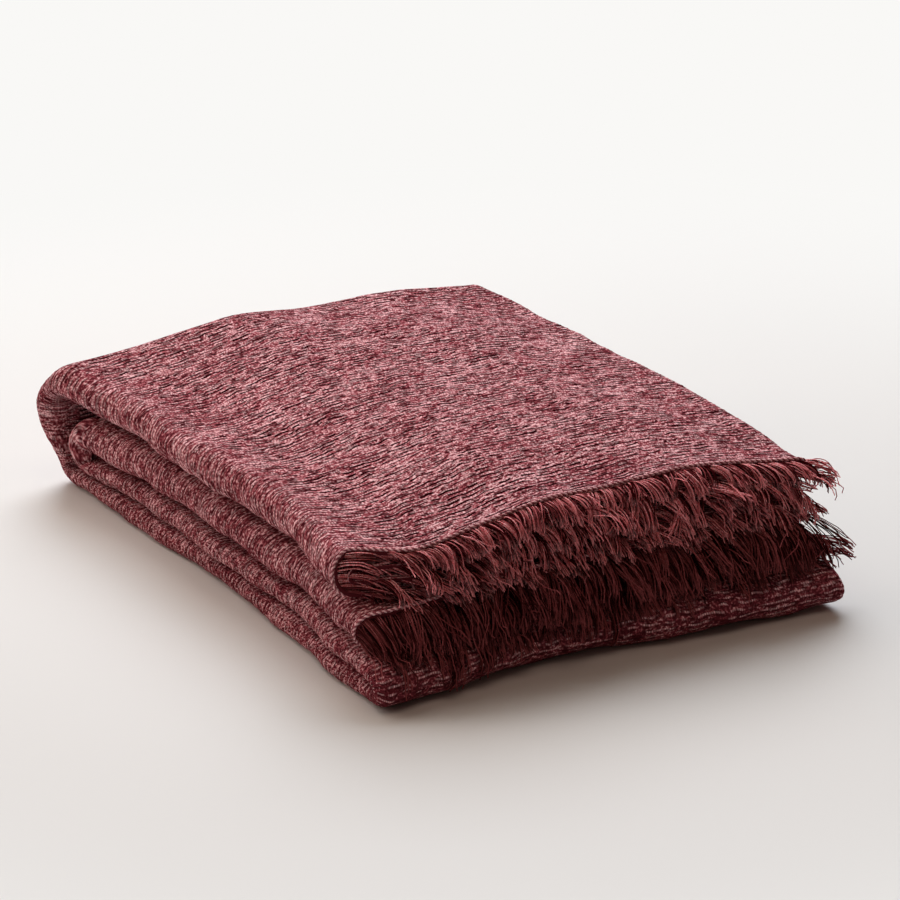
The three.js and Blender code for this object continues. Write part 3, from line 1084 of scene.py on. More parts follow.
@dataclass(frozen=True)
class TableFinish:
    """Matt off-white laminate, which fades into a white surround."""

    colour: int = 0xDEDBD8
    surround: int = 0xF9F8F6
    fade_from: float = 0.35         # metres from the middle
    fade_to: float = 0.85

    def build(self) -> bpy.types.Material:
        """Make the material.

        Returns:
            The table's material.
        """
        material, tree = new_material("matt_white_table")
        place = add(tree, "ShaderNodeTexCoord", out="Object")
        away = add(tree, "ShaderNodeVectorMath", place, operation="LENGTH", out="Value")
        board = add(tree, "ShaderNodeBsdfPrincipled", {
            "Base Color": linear(self.colour), "Roughness": 0.6, "Specular IOR Level": 0.3,
        })
        glow = add(tree, "ShaderNodeEmission", linear(self.surround), 1.0)
        faded = away.rise(self.fade_from, self.fade_to)
        mixed = add(tree, "ShaderNodeMixShader", faded, board, glow)
        add(tree, "ShaderNodeOutputMaterial", mixed)
        return material


# ---------------------------------------------------------------- the cloth


@dataclass(frozen=True)
class Stray:
    """How rows stray from straight: a share of their wobble, and its runs."""

    share: float
    along: float
    start: float
    across: float


@dataclass
class ThrowCloth:
    """The woven cloth: one rectangle, with its chenille rows in relief wherever they show."""

    fold: FoldedThrow
    finish: ChenilleFinish
    samples_a_row: int = 5
    rows_a_plain_cell: int = 5
    relief: float = 0.7             # height of a row's crest over its groove
    crest: float = 0.8              # under 1 makes crests round and grooves narrow
    crest_middle: float = 0.6       # the height that lies on the solid's own face
    leanest: float = 0.4            # a row's relief where it is thinnest
    plumpness: float = 1.2          # how much its relief varies
    plump_run: float = 14.0
    wobble: float = 1.8             # how far a row strays from straight
    strays: tuple[Stray, ...] = (Stray(0.65, 38, 0, 60), Stray(0.35, 13, 50, 25))
    close_rows: float = 13.0        # width of the close, straight rows beside a fringed end
    close_pitch: float = 2.9
    run_cells: int = 40
    left_cells: int = 14
    right_cells: int = 6
    row_apart: float = 3.7          # noise from row to row, so that no two swell alike
    top_run: int = 2                # the weft row that lies on top
    left_fold: int = 1              # the weft row and the warp row that the finish tells apart
    front_fold: int = 5
    left_fade: float = 14.0
    front_fade: float = 8.0

    def __post_init__(self) -> None:
        """Prepare the noises and the stations along the weft and the warp."""
        self.wander = SoftNoise(11)
        self.plump = SoftNoise(12)
        self.weft_start = np.concatenate([[0], np.cumsum(self.fold.weft_lengths)])
        self.warp_places, self.warp_way = self.seen_way()
        self.warp_start = np.interp(range(len(self.fold.warp) + 1), self.warp_places, self.warp_way)

    def seen_way(self) -> tuple[Array, Array]:
        """Millimetres along the middle of the top run, which is the layer that shows.

        Returns:
            Warp places and the millimetres from the first of them to each.
        """
        v = np.linspace(0, len(self.fold.warp), 32 * len(self.fold.warp) + 1)
        u = np.full(len(v), self.top_run + 0.5)
        points = self.fold.cloth(u, np.minimum(v, len(self.fold.warp) - 1e-6))
        steps = np.linalg.norm(np.diff(points, axis=0), axis=1)
        return v, np.concatenate([[0.0], np.cumsum(steps)])

    def weft_cells(self, row: WeftRow) -> int:
        """How many cells one weft row has.

        Args:
            row: the row.

        Returns:
            The number.
        """
        if row.is_run:
            return self.run_cells if row.uneven else self.run_cells // 2
        return self.left_cells if row.side is Edge.LEFT else self.right_cells

    def has_relief(self, weft_index: int, warp_index: int) -> bool:
        """Whether the face has its chenille rows in relief where two rows cross.

        Args:
            weft_index: a weft row, which may lie past the selvedge.
            warp_index: a warp row.

        Returns:
            Whether the cloth shows there.
        """
        if not 0 <= weft_index < len(self.fold.weft):
            return False
        row = self.fold.weft[weft_index]
        return row.outside or (row.uneven and self.fold.warp[warp_index].shows)

    def lattice(self) -> tuple[Array, Array, list[int], list[int]]:
        """The finest grid of the cloth.

        Returns:
            Weft and warp stations, and the station at which each weft and warp row starts.
        """
        us, u_rows = [0.0], [0]
        for i, row in enumerate(self.fold.weft):
            n = self.weft_cells(row)
            us += [i + (k + 1) / n for k in range(n)]
            u_rows.append(len(us) - 1)
        vs, v_rows = [0.0], [0]
        for j, length in enumerate(np.diff(self.warp_start)):
            plain = max(1, round(length / (self.finish.row_pitch * self.rows_a_plain_cell)))
            n = plain * self.rows_a_plain_cell * self.samples_a_row
            # Even steps along the cloth: its layers are not all as thick, so even places are not.
            steps = self.warp_start[j] + length * np.arange(1, n) / n
            vs += [*np.interp(steps, self.warp_way, self.warp_places), j + 1.0]
            v_rows.append(len(vs) - 1)
        return np.array(us), np.array(vs), u_rows, v_rows

    def flat_place(self, u: Array, v: Array) -> Array:
        """Places on the flat cloth, as its rows count them with their wandering.

        Args:
            u: weft places.
            v: warp places.

        Returns:
            Millimetres along the weft and along the warp.
        """
        i = np.clip(np.floor(u), 0, len(self.fold.weft) - 1).astype(int)
        along = self.weft_start[i] + (u - i) * self.fold.weft_lengths[i]
        warp = np.interp(v, self.warp_places, self.warp_way)
        from_last = self.warp_start[-1] - warp
        stray = sum(s.share * self.wander.at(along / s.along + s.start, warp / s.across)
                    for s in self.strays)
        closer = self.finish.row_pitch / self.close_pitch - 1
        spread = closer * (np.minimum(warp, self.close_rows) + self.close_rows
                           - np.minimum(from_last, self.close_rows))
        freed = smooth(np.minimum(warp, from_last) / (2 * self.close_rows))
        return np.stack([along, warp + spread + self.wobble * stray * freed], axis=-1)

    def bends(self, flat: Array) -> Array:
        """How much the cloth bends round the outer left fold and round the front fold.

        Args:
            flat: places on the flat cloth.

        Returns:
            Two shares from 0 to 1 for each place.
        """
        folds = ((flat[:, 0], self.weft_start, self.left_fold, self.left_fade),
                 (flat[:, 1], self.warp_start, self.front_fold, self.front_fade))
        past = [(np.maximum(starts[row] - place, place - starts[row + 1]), fade)
                for place, starts, row, fade in folds]
        return np.stack([1 - smooth(distance / fade) for distance, fade in past], axis=-1)

    def surface(self, u: Array, v: Array, side: int) -> Array:
        """The face or the back of the cloth.

        Args:
            u: weft places.
            v: warp places.
            side: 1 for the face, -1 for the back.

        Returns:
            Points in millimetres.
        """
        along, warp = self.flat_place(u, v).T
        rows = warp / self.finish.row_pitch
        crest = np.abs(np.sin(np.pi * rows)) ** self.crest
        varied = self.plump.at(along / self.plump_run, np.floor(rows) * self.row_apart)
        relief = self.relief * (self.leanest + self.plumpness * varied)
        lift = self.fold.thickness / 2 + relief * (crest - self.crest_middle)
        points = self.fold.cloth(u, v) + side * lift[:, None] * self.fold.normals(u, v)
        points[:, 2] = np.maximum(points[:, 2], 0.0)
        return self.fold.ripple(points)

    def build(self) -> bpy.types.Object:
        """Make the cloth.

        Returns:
            The cloth's object, a closed thin sheet.
        """
        us, vs, u_rows, v_rows = self.lattice()
        step = self.rows_a_plain_cell * self.samples_a_row
        columns = len(us)
        polygons: list[tuple[int, ...]] = []
        for j in range(len(self.fold.warp)):
            rows = range(v_rows[j], v_rows[j + 1])
            for i in range(len(self.fold.weft)):
                cols = range(u_rows[i], u_rows[i + 1])
                fine = self.has_relief(i, j)
                # A coarse cell has every point of a finer neighbour on the side where they meet.
                met = {cols[0]: self.has_relief(i - 1, j), cols[-1] + 1: self.has_relief(i + 1, j)}
                for r in rows[::1 if fine else step]:
                    for c in cols:
                        high = r + (1 if fine else step)
                        left, right = (range(r, high + 1) if met.get(k) and not fine else (r, high)
                                       for k in (c, c + 1))
                        ring = [k * columns + c + 1 for k in right]
                        ring += [k * columns + c for k in reversed(left)]
                        polygons.append(tuple([ring[-1]] + ring[:-1]))
        used = np.unique(np.concatenate([np.array(p) for p in polygons]))
        face_at = np.full(columns * len(vs), -1)
        face_at[used] = np.arange(len(used))
        u, v = us[used % columns], vs[used // columns]
        points = [self.surface(u, v, 1)]
        faces = [tuple(int(face_at[k]) for k in p) for p in polygons]
        flat = [self.flat_place(u, v)]

        coarse_rows = [*range(0, len(vs) - 1, step), len(vs) - 1]
        back_u, back_v = np.tile(us, len(coarse_rows)), np.repeat(vs[coarse_rows], columns)
        points.append(self.surface(back_u, back_v, -1))
        flat.append(self.flat_place(back_u, back_v))
        offset = len(used)
        for r in range(len(coarse_rows) - 1):
            for a in range(offset + r * columns, offset + (r + 1) * columns - 1):
                faces.append((a, a + columns, a + columns + 1, a + 1))
        rims = self.rims(coarse_rows, columns, face_at, offset)
        return self.to_object(np.concatenate(points), faces, rims, np.concatenate(flat))

    def rims(self, coarse_rows: list[int], columns: int, face_at: Array,
             offset: int) -> list[tuple[int, ...]]:
        """The cut ends and the selvedges, between the face and the back.

        Args:
            coarse_rows: warp stations that the back has.
            columns: weft stations.
            face_at: the face's vertex at each lattice place.
            offset: the back's first vertex.

        Returns:
            Faces of the four rims.
        """
        def quad(a: int, b: int, back_a: int, back_b: int) -> tuple[int, ...]:
            """A rim's face, from two places on the face and two on the back."""
            return (int(face_at[b]), int(face_at[a]), offset + back_a, offset + back_b)

        top, last = coarse_rows[-1] * columns, (len(coarse_rows) - 1) * columns
        right = columns - 1
        rims = []
        for c in range(right):
            rims.append(quad(c, c + 1, c, c + 1))
            rims.append(quad(top + c + 1, top + c, last + c + 1, last + c))
        for k in range(len(coarse_rows) - 1):
            low, high = coarse_rows[k] * columns, coarse_rows[k + 1] * columns
            back_low, back_high = k * columns, (k + 1) * columns
            rims.append(quad(high, low, back_high, back_low))
            rims.append(quad(low + right, high + right, back_low + right, back_high + right))
        return rims

    def to_object(self, points: Array, faces: list[tuple[int, ...]], rims: list[tuple[int, ...]],
                  flat: Array) -> bpy.types.Object:
        """Make the object, its UV maps and its materials.

        Args:
            points: vertices in millimetres.
            faces: polygons of the face and the back.
            rims: polygons of the cut edges.
            flat: each vertex's place on the flat cloth, in millimetres.

        Returns:
            The cloth's object.
        """
        mesh = bpy.data.meshes.new("throw_blanket_cloth")
        mesh.from_pydata(self.fold.to_frame(points).tolist(), [], faces + rims)
        mesh.polygons.foreach_set("material_index", [0] * len(faces) + [1] * len(rims))
        mesh.shade_smooth()
        corners = np.empty(len(mesh.loops), dtype=np.int32)
        mesh.loops.foreach_get("vertex_index", corners)
        for name, values in (("weave", flat * MM), ("bend", self.bends(flat))):
            uv = mesh.uv_layers.new(name=name)
            uv.data.foreach_set("uv", values[corners].astype(np.float32).ravel())
        mesh.materials.append(self.finish.build())
        mesh.materials.append(self.finish.build_ground())
        return link("throw_blanket_cloth", mesh)


# ---------------------------------------------------------------- the fringe


@dataclass(frozen=True)
class FringeRow:
    """The fringe along one weft row: its clumps and how they lie. Angles are in degrees."""

    weft_row: int
    clump_pitch: float      # clump to clump along the edge
    strands: int            # in a clump
    length: float
    dip_from: float         # below level, where it leaves the cloth
    dip_to: float           # below level, at its tip
    bend: float             # over 1 keeps the bend for the tip
    swing: float = 12.0     # how much clumps differ to the side
    curl: float = 22.0      # how much tips turn aside
    frizz: float = 1.0
    lock_pitch: float = 10.0    # lock to lock
    sag: float = 24.0       # how much locks differ in their dip


@dataclass(frozen=True)
class Lean:
    """At a place across: how far the strands of each end lean to the right, in degrees."""

    x: float
    top_end: float
    inner_end: float


LEANS = (
    Lean(-8, 66, 26), Lean(14, 58, 22), Lean(42, 24, 10), Lean(100, 4, 4), Lean(150, -2, 2),
    Lean(215, 6, 2), Lean(280, 22, 10), Lean(308, 34, 22), Lean(320, 60, 44),
)


# What each guide carries for its strands, and the kind of value.
CARRIED = {"side": "FLOAT_VECTOR", "out": "FLOAT_VECTOR", "gather": "FLOAT", "half_width": "FLOAT",
           "tone": "FLOAT", "frizz": "FLOAT", "strands": "FLOAT"}


def start_tree(name: str, sizes: dict[str, float],
               counts: dict[str, int]) -> tuple[bpy.types.NodeTree, Wire, Wire]:
    """Start a geometry tree that takes guides and named sizes.

    Args:
        name: the tree's name.
        sizes: lengths by label, in metres.
        counts: counts and seeds by label.

    Returns:
        The tree, its guides as curves, and its group input, whose outputs go by their labels.
    """
    tree = bpy.data.node_groups.new(name, "GeometryNodeTree")
    face = tree.interface
    face.new_socket("Guides", in_out="INPUT", socket_type="NodeSocketGeometry")
    for values, kind in ((sizes, "Float"), (counts, "Int")):
        for label, value in values.items():
            socket = face.new_socket(label, in_out="INPUT", socket_type=f"NodeSocket{kind}")
            socket.default_value = value
    face.new_socket("Yarns", in_out="OUTPUT", socket_type="NodeSocketGeometry")
    given = add(tree, "NodeGroupInput")
    return tree, add(tree, "GeometryNodeMeshToCurve", given), given


def end_tree(curves: Wire, shade: Wire, way: Wire | float, radius: Wire, sides: Wire,
             material: bpy.types.Material) -> bpy.types.NodeTree:
    """Turn curves into dressed tubes, and end their tree.

    Args:
        curves: the yarns' middles.
        shade: each one's own shade.
        way: the way along each, from 0 to 1.
        radius: of the yarns.
        sides: of a yarn.
        material: its finish, which reads shade and way.

    Returns:
        The tree.
    """
    tree = curves.tree
    pair = add(tree, "ShaderNodeCombineXYZ", shade, way)
    marked = add(tree, "GeometryNodeStoreNamedAttribute", {
        "Geometry": curves, "Name": "shade_and_way", "Value": pair,
    }, data_type="FLOAT_VECTOR", domain="POINT")
    ring = add(tree, "GeometryNodeCurvePrimitiveCircle", {
        "Resolution": sides, "Radius": radius}, mode="RADIUS")
    tube = add(tree, "GeometryNodeCurveToMesh", {
        "Curve": marked, "Profile Curve": ring, "Fill Caps": True})
    pair = add(tree, "GeometryNodeInputNamedAttribute", {"Name": "shade_and_way"},
               data_type="FLOAT_VECTOR")
    tube = add(tree, "GeometryNodeStoreNamedAttribute", {
        "Geometry": tube, "Name": "strand", "Value": pair}, data_type="FLOAT2", domain="CORNER")
    real = add(tree, "GeometryNodeRealizeInstances", tube)
    dressed = add(tree, "GeometryNodeSetMaterial", {0: real, "Material": material})
    add(tree, "NodeGroupOutput", add(tree, "GeometryNodeSetShadeSmooth", dressed))
    return tree


@dataclass(frozen=True)
class StrandTree:
    """The node tree that turns each guide into a clump of fine strands."""

    name: str
    seed: int = 3
    strand_radius: float = 0.36     # thicker than the real yarn, so that single strands show
    root_depth: float = 0.7         # thickness of a clump at its root
    clump_depth: float = 2.4        # and how much more it swells
    waviness: float = 1.6
    wave_scale: float = 85.0        # waves of a strand in a metre
    fan: float = 5.0                # how far its straying strands spread
    shortest: float = 0.8           # of the guide's length
    swell_turn: float = 2.4         # radians of a sine that the swelling follows
    taper: float = 0.35             # how much thinner a tip is
    own_shade: float = 0.75         # the rest of a strand's shade is its clump's

    def build(self, material: bpy.types.Material) -> bpy.types.NodeTree:
        """Make the tree.

        Args:
            material: the strands' finish.

        Returns:
            The tree, with named sizes as its inputs.
        """
        sizes = {"Strand Radius": self.strand_radius * MM, "Root Depth": self.root_depth * MM,
                 "Clump Depth": self.clump_depth * MM, "Waviness": self.waviness * MM}
        counts = {"Points": 10, "Sides": 3, "Seed": self.seed}
        tree, lines, given = start_tree(self.name, sizes, counts)
        carried = {
            label: add(tree, "GeometryNodeInputNamedAttribute", {"Name": label}, data_type=kind)
            for label, kind in CARRIED.items()
        }
        geometry = add(tree, "GeometryNodeDuplicateElements", {
            "Geometry": lines, "Amount": carried["strands"] + 0.5}, domain="SPLINE")
        index = add(tree, "GeometryNodeInputIndex")
        both_ways, one_way = (-1.0, 1.0), (0.0, 1.0)
        draws = []
        for k, (low, high) in enumerate((both_ways, both_ways, one_way, one_way, both_ways)):
            draw = add(tree, "FunctionNodeRandomValue", {
                "ID": index, "Seed": given.also("Seed") + 11.0 * k, 2: low, 3: high,
            }, out=1, data_type="FLOAT")
            name = {"Name": f"draw_{k}"}
            geometry = add(tree, "GeometryNodeStoreNamedAttribute", {
                "Geometry": geometry, "Value": draw, **name}, data_type="FLOAT", domain="CURVE")
            draws.append(add(tree, "GeometryNodeInputNamedAttribute", name, data_type="FLOAT"))
        beside, depth, shade, length, fray = draws

        # A strand is cut to its own length before it is bent, so its way still runs from 0 to 1.
        end = length * (1.0 - self.shortest) + self.shortest
        cut = add(tree, "GeometryNodeTrimCurve", {"Curve": geometry, "End": end}, mode="FACTOR")
        even = add(tree, "GeometryNodeResampleCurve", {"Curve": cut, "Count": given.also("Points")})
        way = add(tree, "GeometryNodeSplineParameter", out="Factor")
        # Strands gather towards the middle of their clump, but for a few that stray outwards.
        sideways = beside * carried["half_width"] * (1.0 - carried["gather"] * way)
        stray_out = fray.sum("ABSOLUTE").sum("POWER", 5.0) * fray.sum("SIGN")
        sideways = sideways + way * way * (stray_out * (self.fan * MM))
        swell = (way * self.swell_turn).sum("SINE")
        outward = depth * (swell * given.also("Clump Depth") + given.also("Root Depth"))
        offset = carried["side"].times(sideways) + carried["out"].times(outward)
        where = add(tree, "GeometryNodeInputPosition")
        waves = add(tree, "ShaderNodeTexNoise", {
            "Vector": where, "W": shade * 90.0, "Scale": self.wave_scale, "Detail": 1.0,
        }, out="Color", noise_dimensions="4D")
        frizz = way * given.also("Waviness") * carried["frizz"] * 4.0
        offset = offset + (waves - (0.5, 0.5, 0.5)).times(frizz)
        bent = add(tree, "GeometryNodeSetPosition", {"Geometry": even, "Offset": offset})
        here = add(tree, "ShaderNodeSeparateXYZ", where)
        above_table = here.also(2).sum("MAXIMUM", given.also("Strand Radius") * 1.5)
        place = add(tree, "ShaderNodeCombineXYZ", here, here.also(1), above_table)
        laid = add(tree, "GeometryNodeSetPosition", {"Geometry": bent, "Position": place})
        sized = add(tree, "GeometryNodeSetCurveRadius", {
            "Curve": laid, "Radius": way * -self.taper + 1.0})
        tone = shade * self.own_shade + carried["tone"] * (1 - self.own_shade)
        return end_tree(sized, tone, way, given.also("Strand Radius"), given.also("Sides"),
                        material)


@dataclass(frozen=True)
class TwistTree:
    """The node tree that lays two plies round each guide, as a twisted yarn."""

    name: str = "twisted_locking_row"
    ply_radius: float = 0.56
    twist_radius: float = 0.5
    twist_pitch: float = 3.7
    step: float = 0.5
    patch_scale: float = 160.0      # changes of shade in a metre

    def build(self, material: bpy.types.Material) -> bpy.types.NodeTree:
        """Make the tree.

        Args:
            material: the yarn's finish.

        Returns:
            The tree, with named sizes as its inputs.
        """
        sizes = {"Ply Radius": self.ply_radius * MM, "Twist Radius": self.twist_radius * MM,
                 "Twist Pitch": self.twist_pitch * MM, "Step": self.step * MM}
        tree, lines, given = start_tree(self.name, sizes, {"Plies": 2, "Sides": 5})
        even = add(tree, "GeometryNodeResampleCurve", {
            "Curve": lines, "Length": given.also("Step")}, mode="LENGTH")
        plies = add(tree, "GeometryNodeDuplicateElements", {
            "Geometry": even, "Amount": given.also("Plies")}, domain="SPLINE")
        turns = add(tree, "GeometryNodeSplineParameter", out="Length") / given.also("Twist Pitch")
        share = plies.also("Duplicate Index") / given.also("Plies")
        angle = (turns + share) * (2 * math.pi)
        normal = add(tree, "GeometryNodeInputNormal")
        across = add(tree, "GeometryNodeInputTangent").sum("CROSS_PRODUCT", normal)
        offset = normal.times(angle.sum("COSINE")) + across.times(angle.sum("SINE"))
        laid = add(tree, "GeometryNodeSetPosition", {
            "Geometry": plies, "Offset": offset.times(given.also("Twist Radius"))})
        where = add(tree, "GeometryNodeInputPosition")
        patchy = add(tree, "ShaderNodeTexNoise", {
            "Vector": where, "Scale": self.patch_scale, "Detail": 1.0}, out="Fac")
        # One ply is pale and the other painted dark, as painted shade in the twist between the
        # plies, so the yarn reads as a row of slanting dashes.
        shade = share * -1.5 + (patchy + 0.35)
        return end_tree(laid, shade, 0.3, given.also("Ply Radius"), given.also("Sides"), material)


def make_guides(fold: FoldedThrow, lines: list[Array], values: dict[str, list]) -> bpy.types.Object:
    """Make the guides' object: separate lines of edges with their values.

    Args:
        fold: takes the points to the frame.
        lines: each guide's points in millimetres.
        values: label to one value, or one array of vectors, for each guide.

    Returns:
        The guides' object.
    """
    mesh = bpy.data.meshes.new("guides")
    counts = [len(line) for line in lines]
    starts = np.concatenate([[0], np.cumsum(counts)])
    edges = [(i, i + 1) for a, b in zip(starts[:-1], starts[1:]) for i in range(a, b - 1)]
    points = fold.ripple(np.concatenate(lines))
    mesh.from_pydata(fold.to_frame(points).tolist(), edges, [])
    for label, column in values.items():
        vectors = CARRIED[label] == "FLOAT_VECTOR"
        spread = np.concatenate(column) if vectors else np.repeat(column, counts)
        layer = mesh.attributes.new(label, CARRIED[label], "POINT")
        layer.data.foreach_set("vector" if vectors else "value", spread.astype(np.float32).ravel())
    return link("guides", mesh)


def grow(guides: bpy.types.Object, tree: bpy.types.NodeTree, name: str,
         sizes: dict[str, object]) -> bpy.types.Object:
    """Run a tree on guides and keep the result as a plain mesh object.

    Args:
        guides: the guides' object, which is removed.
        tree: the geometry tree.
        name: the new object's name.
        sizes: inputs by label, set through their sockets' identifiers.

    Returns:
        The plain object, at the origin.
    """
    modifier = guides.modifiers.new("yarns", "NODES")
    modifier.node_group = tree
    for item in tree.interface.items_tree:
        if item.item_type == "SOCKET" and item.in_out == "INPUT" and item.name in sizes:
            modifier[item.identifier] = sizes[item.name]
    graph = bpy.context.evaluated_depsgraph_get()
    graph.update()
    mesh = bpy.data.meshes.new_from_object(guides.evaluated_get(graph))
    mesh.name = name
    spare = ("draw_", "shade_and_way", *CARRIED)
    for label in [a.name for a in mesh.attributes if a.name.startswith(spare)]:
        mesh.attributes.remove(mesh.attributes[label])
    bpy.data.objects.remove(guides)
    return link(name, mesh)


@dataclass(frozen=True)
class Chance:
    """How much clumps and locks of the fringe differ. Angles are in degrees."""

    place: float = 0.28             # of a clump's pitch, each way
    border: float = 0.3             # of a lock's pitch, each way
    lock_length: float = 0.14       # share of the length, each way
    clump_length: tuple[float, float] = (0.9, 1.06)
    together: float = 0.55          # how far a lock's clumps draw together at their tips
    together_spread: float = 0.35
    root_dip: float = 7.0
    clump_root_dip: float = 2.5
    clump_tip_dip: float = 8.0
    gathers: tuple[float, ...] = (0.85, 0.6, 0.35, -0.2)
    gather_shares: tuple[float, ...] = (0.3, 0.3, 0.25, 0.15)
    half_width: tuple[float, float] = (0.55, 0.85)      # of a clump's pitch
    lock_tone: float = 0.3
    clump_tone: float = 0.22
    frizz: tuple[float, float] = (0.5, 1.5)
    stray_share: float = 0.225      # of clumps that have strands which lie their own way
    stray_root: float = 14.0
    stray_tip: float = 45.0
    stray_lean: float = 25.0
    stray_turn: float = 55.0
    stray_length: float = 1.15
    stray_bend: float = 1.2
    stray_carries: tuple[float, ...] = (0.0, 0.003, 0.8, 2.0, 2.0)     # from gather to strands


@dataclass
class Fringe:
    """The loose warp yarns beyond one fringed end of the cloth, in clumps."""

    name: str
    fold: FoldedThrow
    on_top: bool
    rows: tuple[FringeRow, ...]
    seed: int
    chance: Chance = Chance()
    points: int = 10
    root_inside: float = 1.6        # how far inside the cloth's edge a strand starts
    clear: float = 1.8              # of the front fold

    def lean(self, x: float) -> float:
        """How far strands at a place across lean to the right, in degrees."""
        leans = [lean.top_end if self.on_top else lean.inner_end for lean in LEANS]
        return float(np.interp(x, [lean.x for lean in LEANS], leans))

    def guide(self, root: Array, edge: Array, length: float, dips: tuple[float, float, float],
              lean: float, turn: float) -> tuple[Array, Array, Array]:
        """One clump's middle line.

        Args:
            root: where it leaves the cloth.
            edge: the direction of the cloth's edge there.
            length: how long it is.
            dips: degrees below level at the root and the tip, and the bend between them.
            lean: degrees to the right at the root.
            turn: degrees to the side by which its tip turns from there.

        Returns:
            Points in millimetres, directions along the edge and directions outward.
        """
        way = np.linspace(0, 1, self.points)
        middle = (way[:-1] + way[1:]) / 2
        start, end, bend = dips

        def heading(t: Array) -> Array:
            """Directions of the line.

            Args:
                t: shares of its length.

            Returns:
                Unit vectors.
            """
            dip = np.radians(start + (end - start) * t ** bend)
            yaw = np.radians(lean + turn * t ** 1.6)
            across = np.cos(dip)
            return np.stack([across * np.sin(yaw), -across * np.cos(yaw), -np.sin(dip)], axis=-1)

        steps = np.cumsum(heading(middle) * length / (self.points - 1), axis=0)
        line = np.concatenate([[root], root + steps])
        forward = heading(way)
        square = edge - (forward @ edge)[:, None] * forward
        side = unit(mix(np.tile(edge, (self.points, 1)), square, way[:, None] ** 0.5))
        return self.fold.clear_of_front_fold(line, self.clear), side, unit(np.cross(side, forward))

    def build(self, tree: bpy.types.NodeTree) -> bpy.types.Object:
        """Make the fringe.

        Args:
            tree: the strands' node tree.

        Returns:
            The fringe's object, a plain mesh.
        """
        lines: list[Array] = []
        values: dict[str, list] = {label: [] for label in CARRIED}
        for number, row in enumerate(self.rows):
            for line, *carried in self.clumps(row, number):
                lines.append(line)
                for label, value in zip(CARRIED, carried):
                    values[label].append(value)
        guides = make_guides(self.fold, lines, values)
        return grow(guides, tree, self.name, {"Seed": self.seed})

    def clumps(self, row: FringeRow, number: int) -> Iterator[tuple]:
        """The clumps along one weft row.

        Args:
            row: the clumps' sizes.
            number: the row's place in the list, which sets its chance values.

        Yields:
            Each guide's line, and the values that it carries.
        """
        rng = np.random.default_rng(self.seed * 100 + number)
        by = self.chance
        span = self.fold.weft_lengths[row.weft_row]
        count = max(2, round(span / row.clump_pitch))
        shifts = rng.uniform(-by.place, by.place, count)
        us = row.weft_row + (np.arange(count) + 0.5 + shifts) / count
        vs = self.fold.near_end(self.root_inside, self.on_top, count)
        roots, edges = self.fold.cloth(us, vs), self.fold.edge_directions(us, vs)
        if not self.fold.weft[row.weft_row].is_run:
            edges = edges * np.sign(edges[:, :1] + 1e-9)
        # Clumps are drawn together into locks, and each lock lies its own way.
        locks = max(1, round(span / row.lock_pitch))
        inner = (np.arange(1, locks) + rng.uniform(-by.border, by.border, locks - 1)) / locks
        borders = np.sort(np.concatenate([[0, 1], inner]))
        likes = rng.uniform(-1, 1, (locks, 6))
        for u, root, edge in zip(us, roots, edges):
            t = u - row.weft_row
            lock = int(np.clip(np.searchsorted(borders, t) - 1, 0, locks - 1))
            like = likes[lock]
            off_middle = (t - (borders[lock] + borders[lock + 1]) / 2) * span * np.sign(edge[0])
            length = row.length * (1 + by.lock_length * like[4]) * rng.uniform(*by.clump_length)
            drawn = -off_middle * (by.together + by.together_spread * like[5])
            lean = self.lean(root[0]) + row.swing * like[0]
            lean += math.degrees(math.atan2(drawn, length))
            lean += rng.normal(0, row.swing / 5)
            turn = row.curl * like[1] + rng.normal(0, row.curl / 4)
            root_dip = row.dip_from + by.root_dip * like[2] + rng.normal(0, by.clump_root_dip)
            tip_dip = row.dip_to + row.sag * like[3] + rng.normal(0, by.clump_tip_dip)
            dips = (root_dip, tip_dip, row.bend)
            line, side, out = self.guide(root, edge, length, dips, lean, turn)
            gather = rng.choice(by.gathers, p=by.gather_shares)
            half_width = span / count * rng.uniform(*by.half_width) * MM
            tone = float(np.clip(0.5 + by.lock_tone * like[0] + rng.normal(0, by.clump_tone), 0, 1))
            frizz = row.frizz * rng.uniform(*by.frizz)
            yield line, side, out, gather, half_width, tone, frizz, float(row.strands)
            if rng.uniform() < by.stray_share:
                dips = (root_dip + rng.normal(0, by.stray_root),
                        tip_dip + rng.normal(0, by.stray_tip), by.stray_bend)
                lean, turn = lean + rng.normal(0, by.stray_lean), rng.normal(0, by.stray_turn)
                stray = self.guide(root, edge, length * by.stray_length, dips, lean, turn)
                yield (*stray, *by.stray_carries)


@dataclass
class LockingRow:
    """The pale twisted yarn that holds the last weft row, on the face beside a fringed end."""

    name: str
    fold: FoldedThrow
    on_top: bool
    first: float                    # from this place along the weft
    last: float
    from_end: float = 1.2           # of its middle, from the cloth's edge
    above: float = 0.9              # of its middle, above the cloth's face
    step: float = 2.0

    def build(self, tree: bpy.types.NodeTree) -> bpy.types.Object:
        """Make the row.

        Args:
            tree: the twisted yarn's node tree.

        Returns:
            The row's object, a plain mesh.
        """
        places: list[float] = []
        for index in range(int(self.first), math.ceil(self.last)):
            low, high = max(self.first, index), min(self.last, index + 1)
            count = max(2, round(self.fold.weft_lengths[index] * (high - low) / self.step))
            places += list(low + (high - low) * np.arange(count) / count)
        us = np.array(places + [self.last - 1e-6])
        vs = self.fold.near_end(self.from_end, self.on_top, len(us))
        lift = self.fold.thickness / 2 + self.above
        line = self.fold.cloth(us, vs) + lift * self.fold.normals(us, vs)
        return grow(make_guides(self.fold, [line], {}), tree, self.name, {})


# ---------------------------------------------------------------- the studio


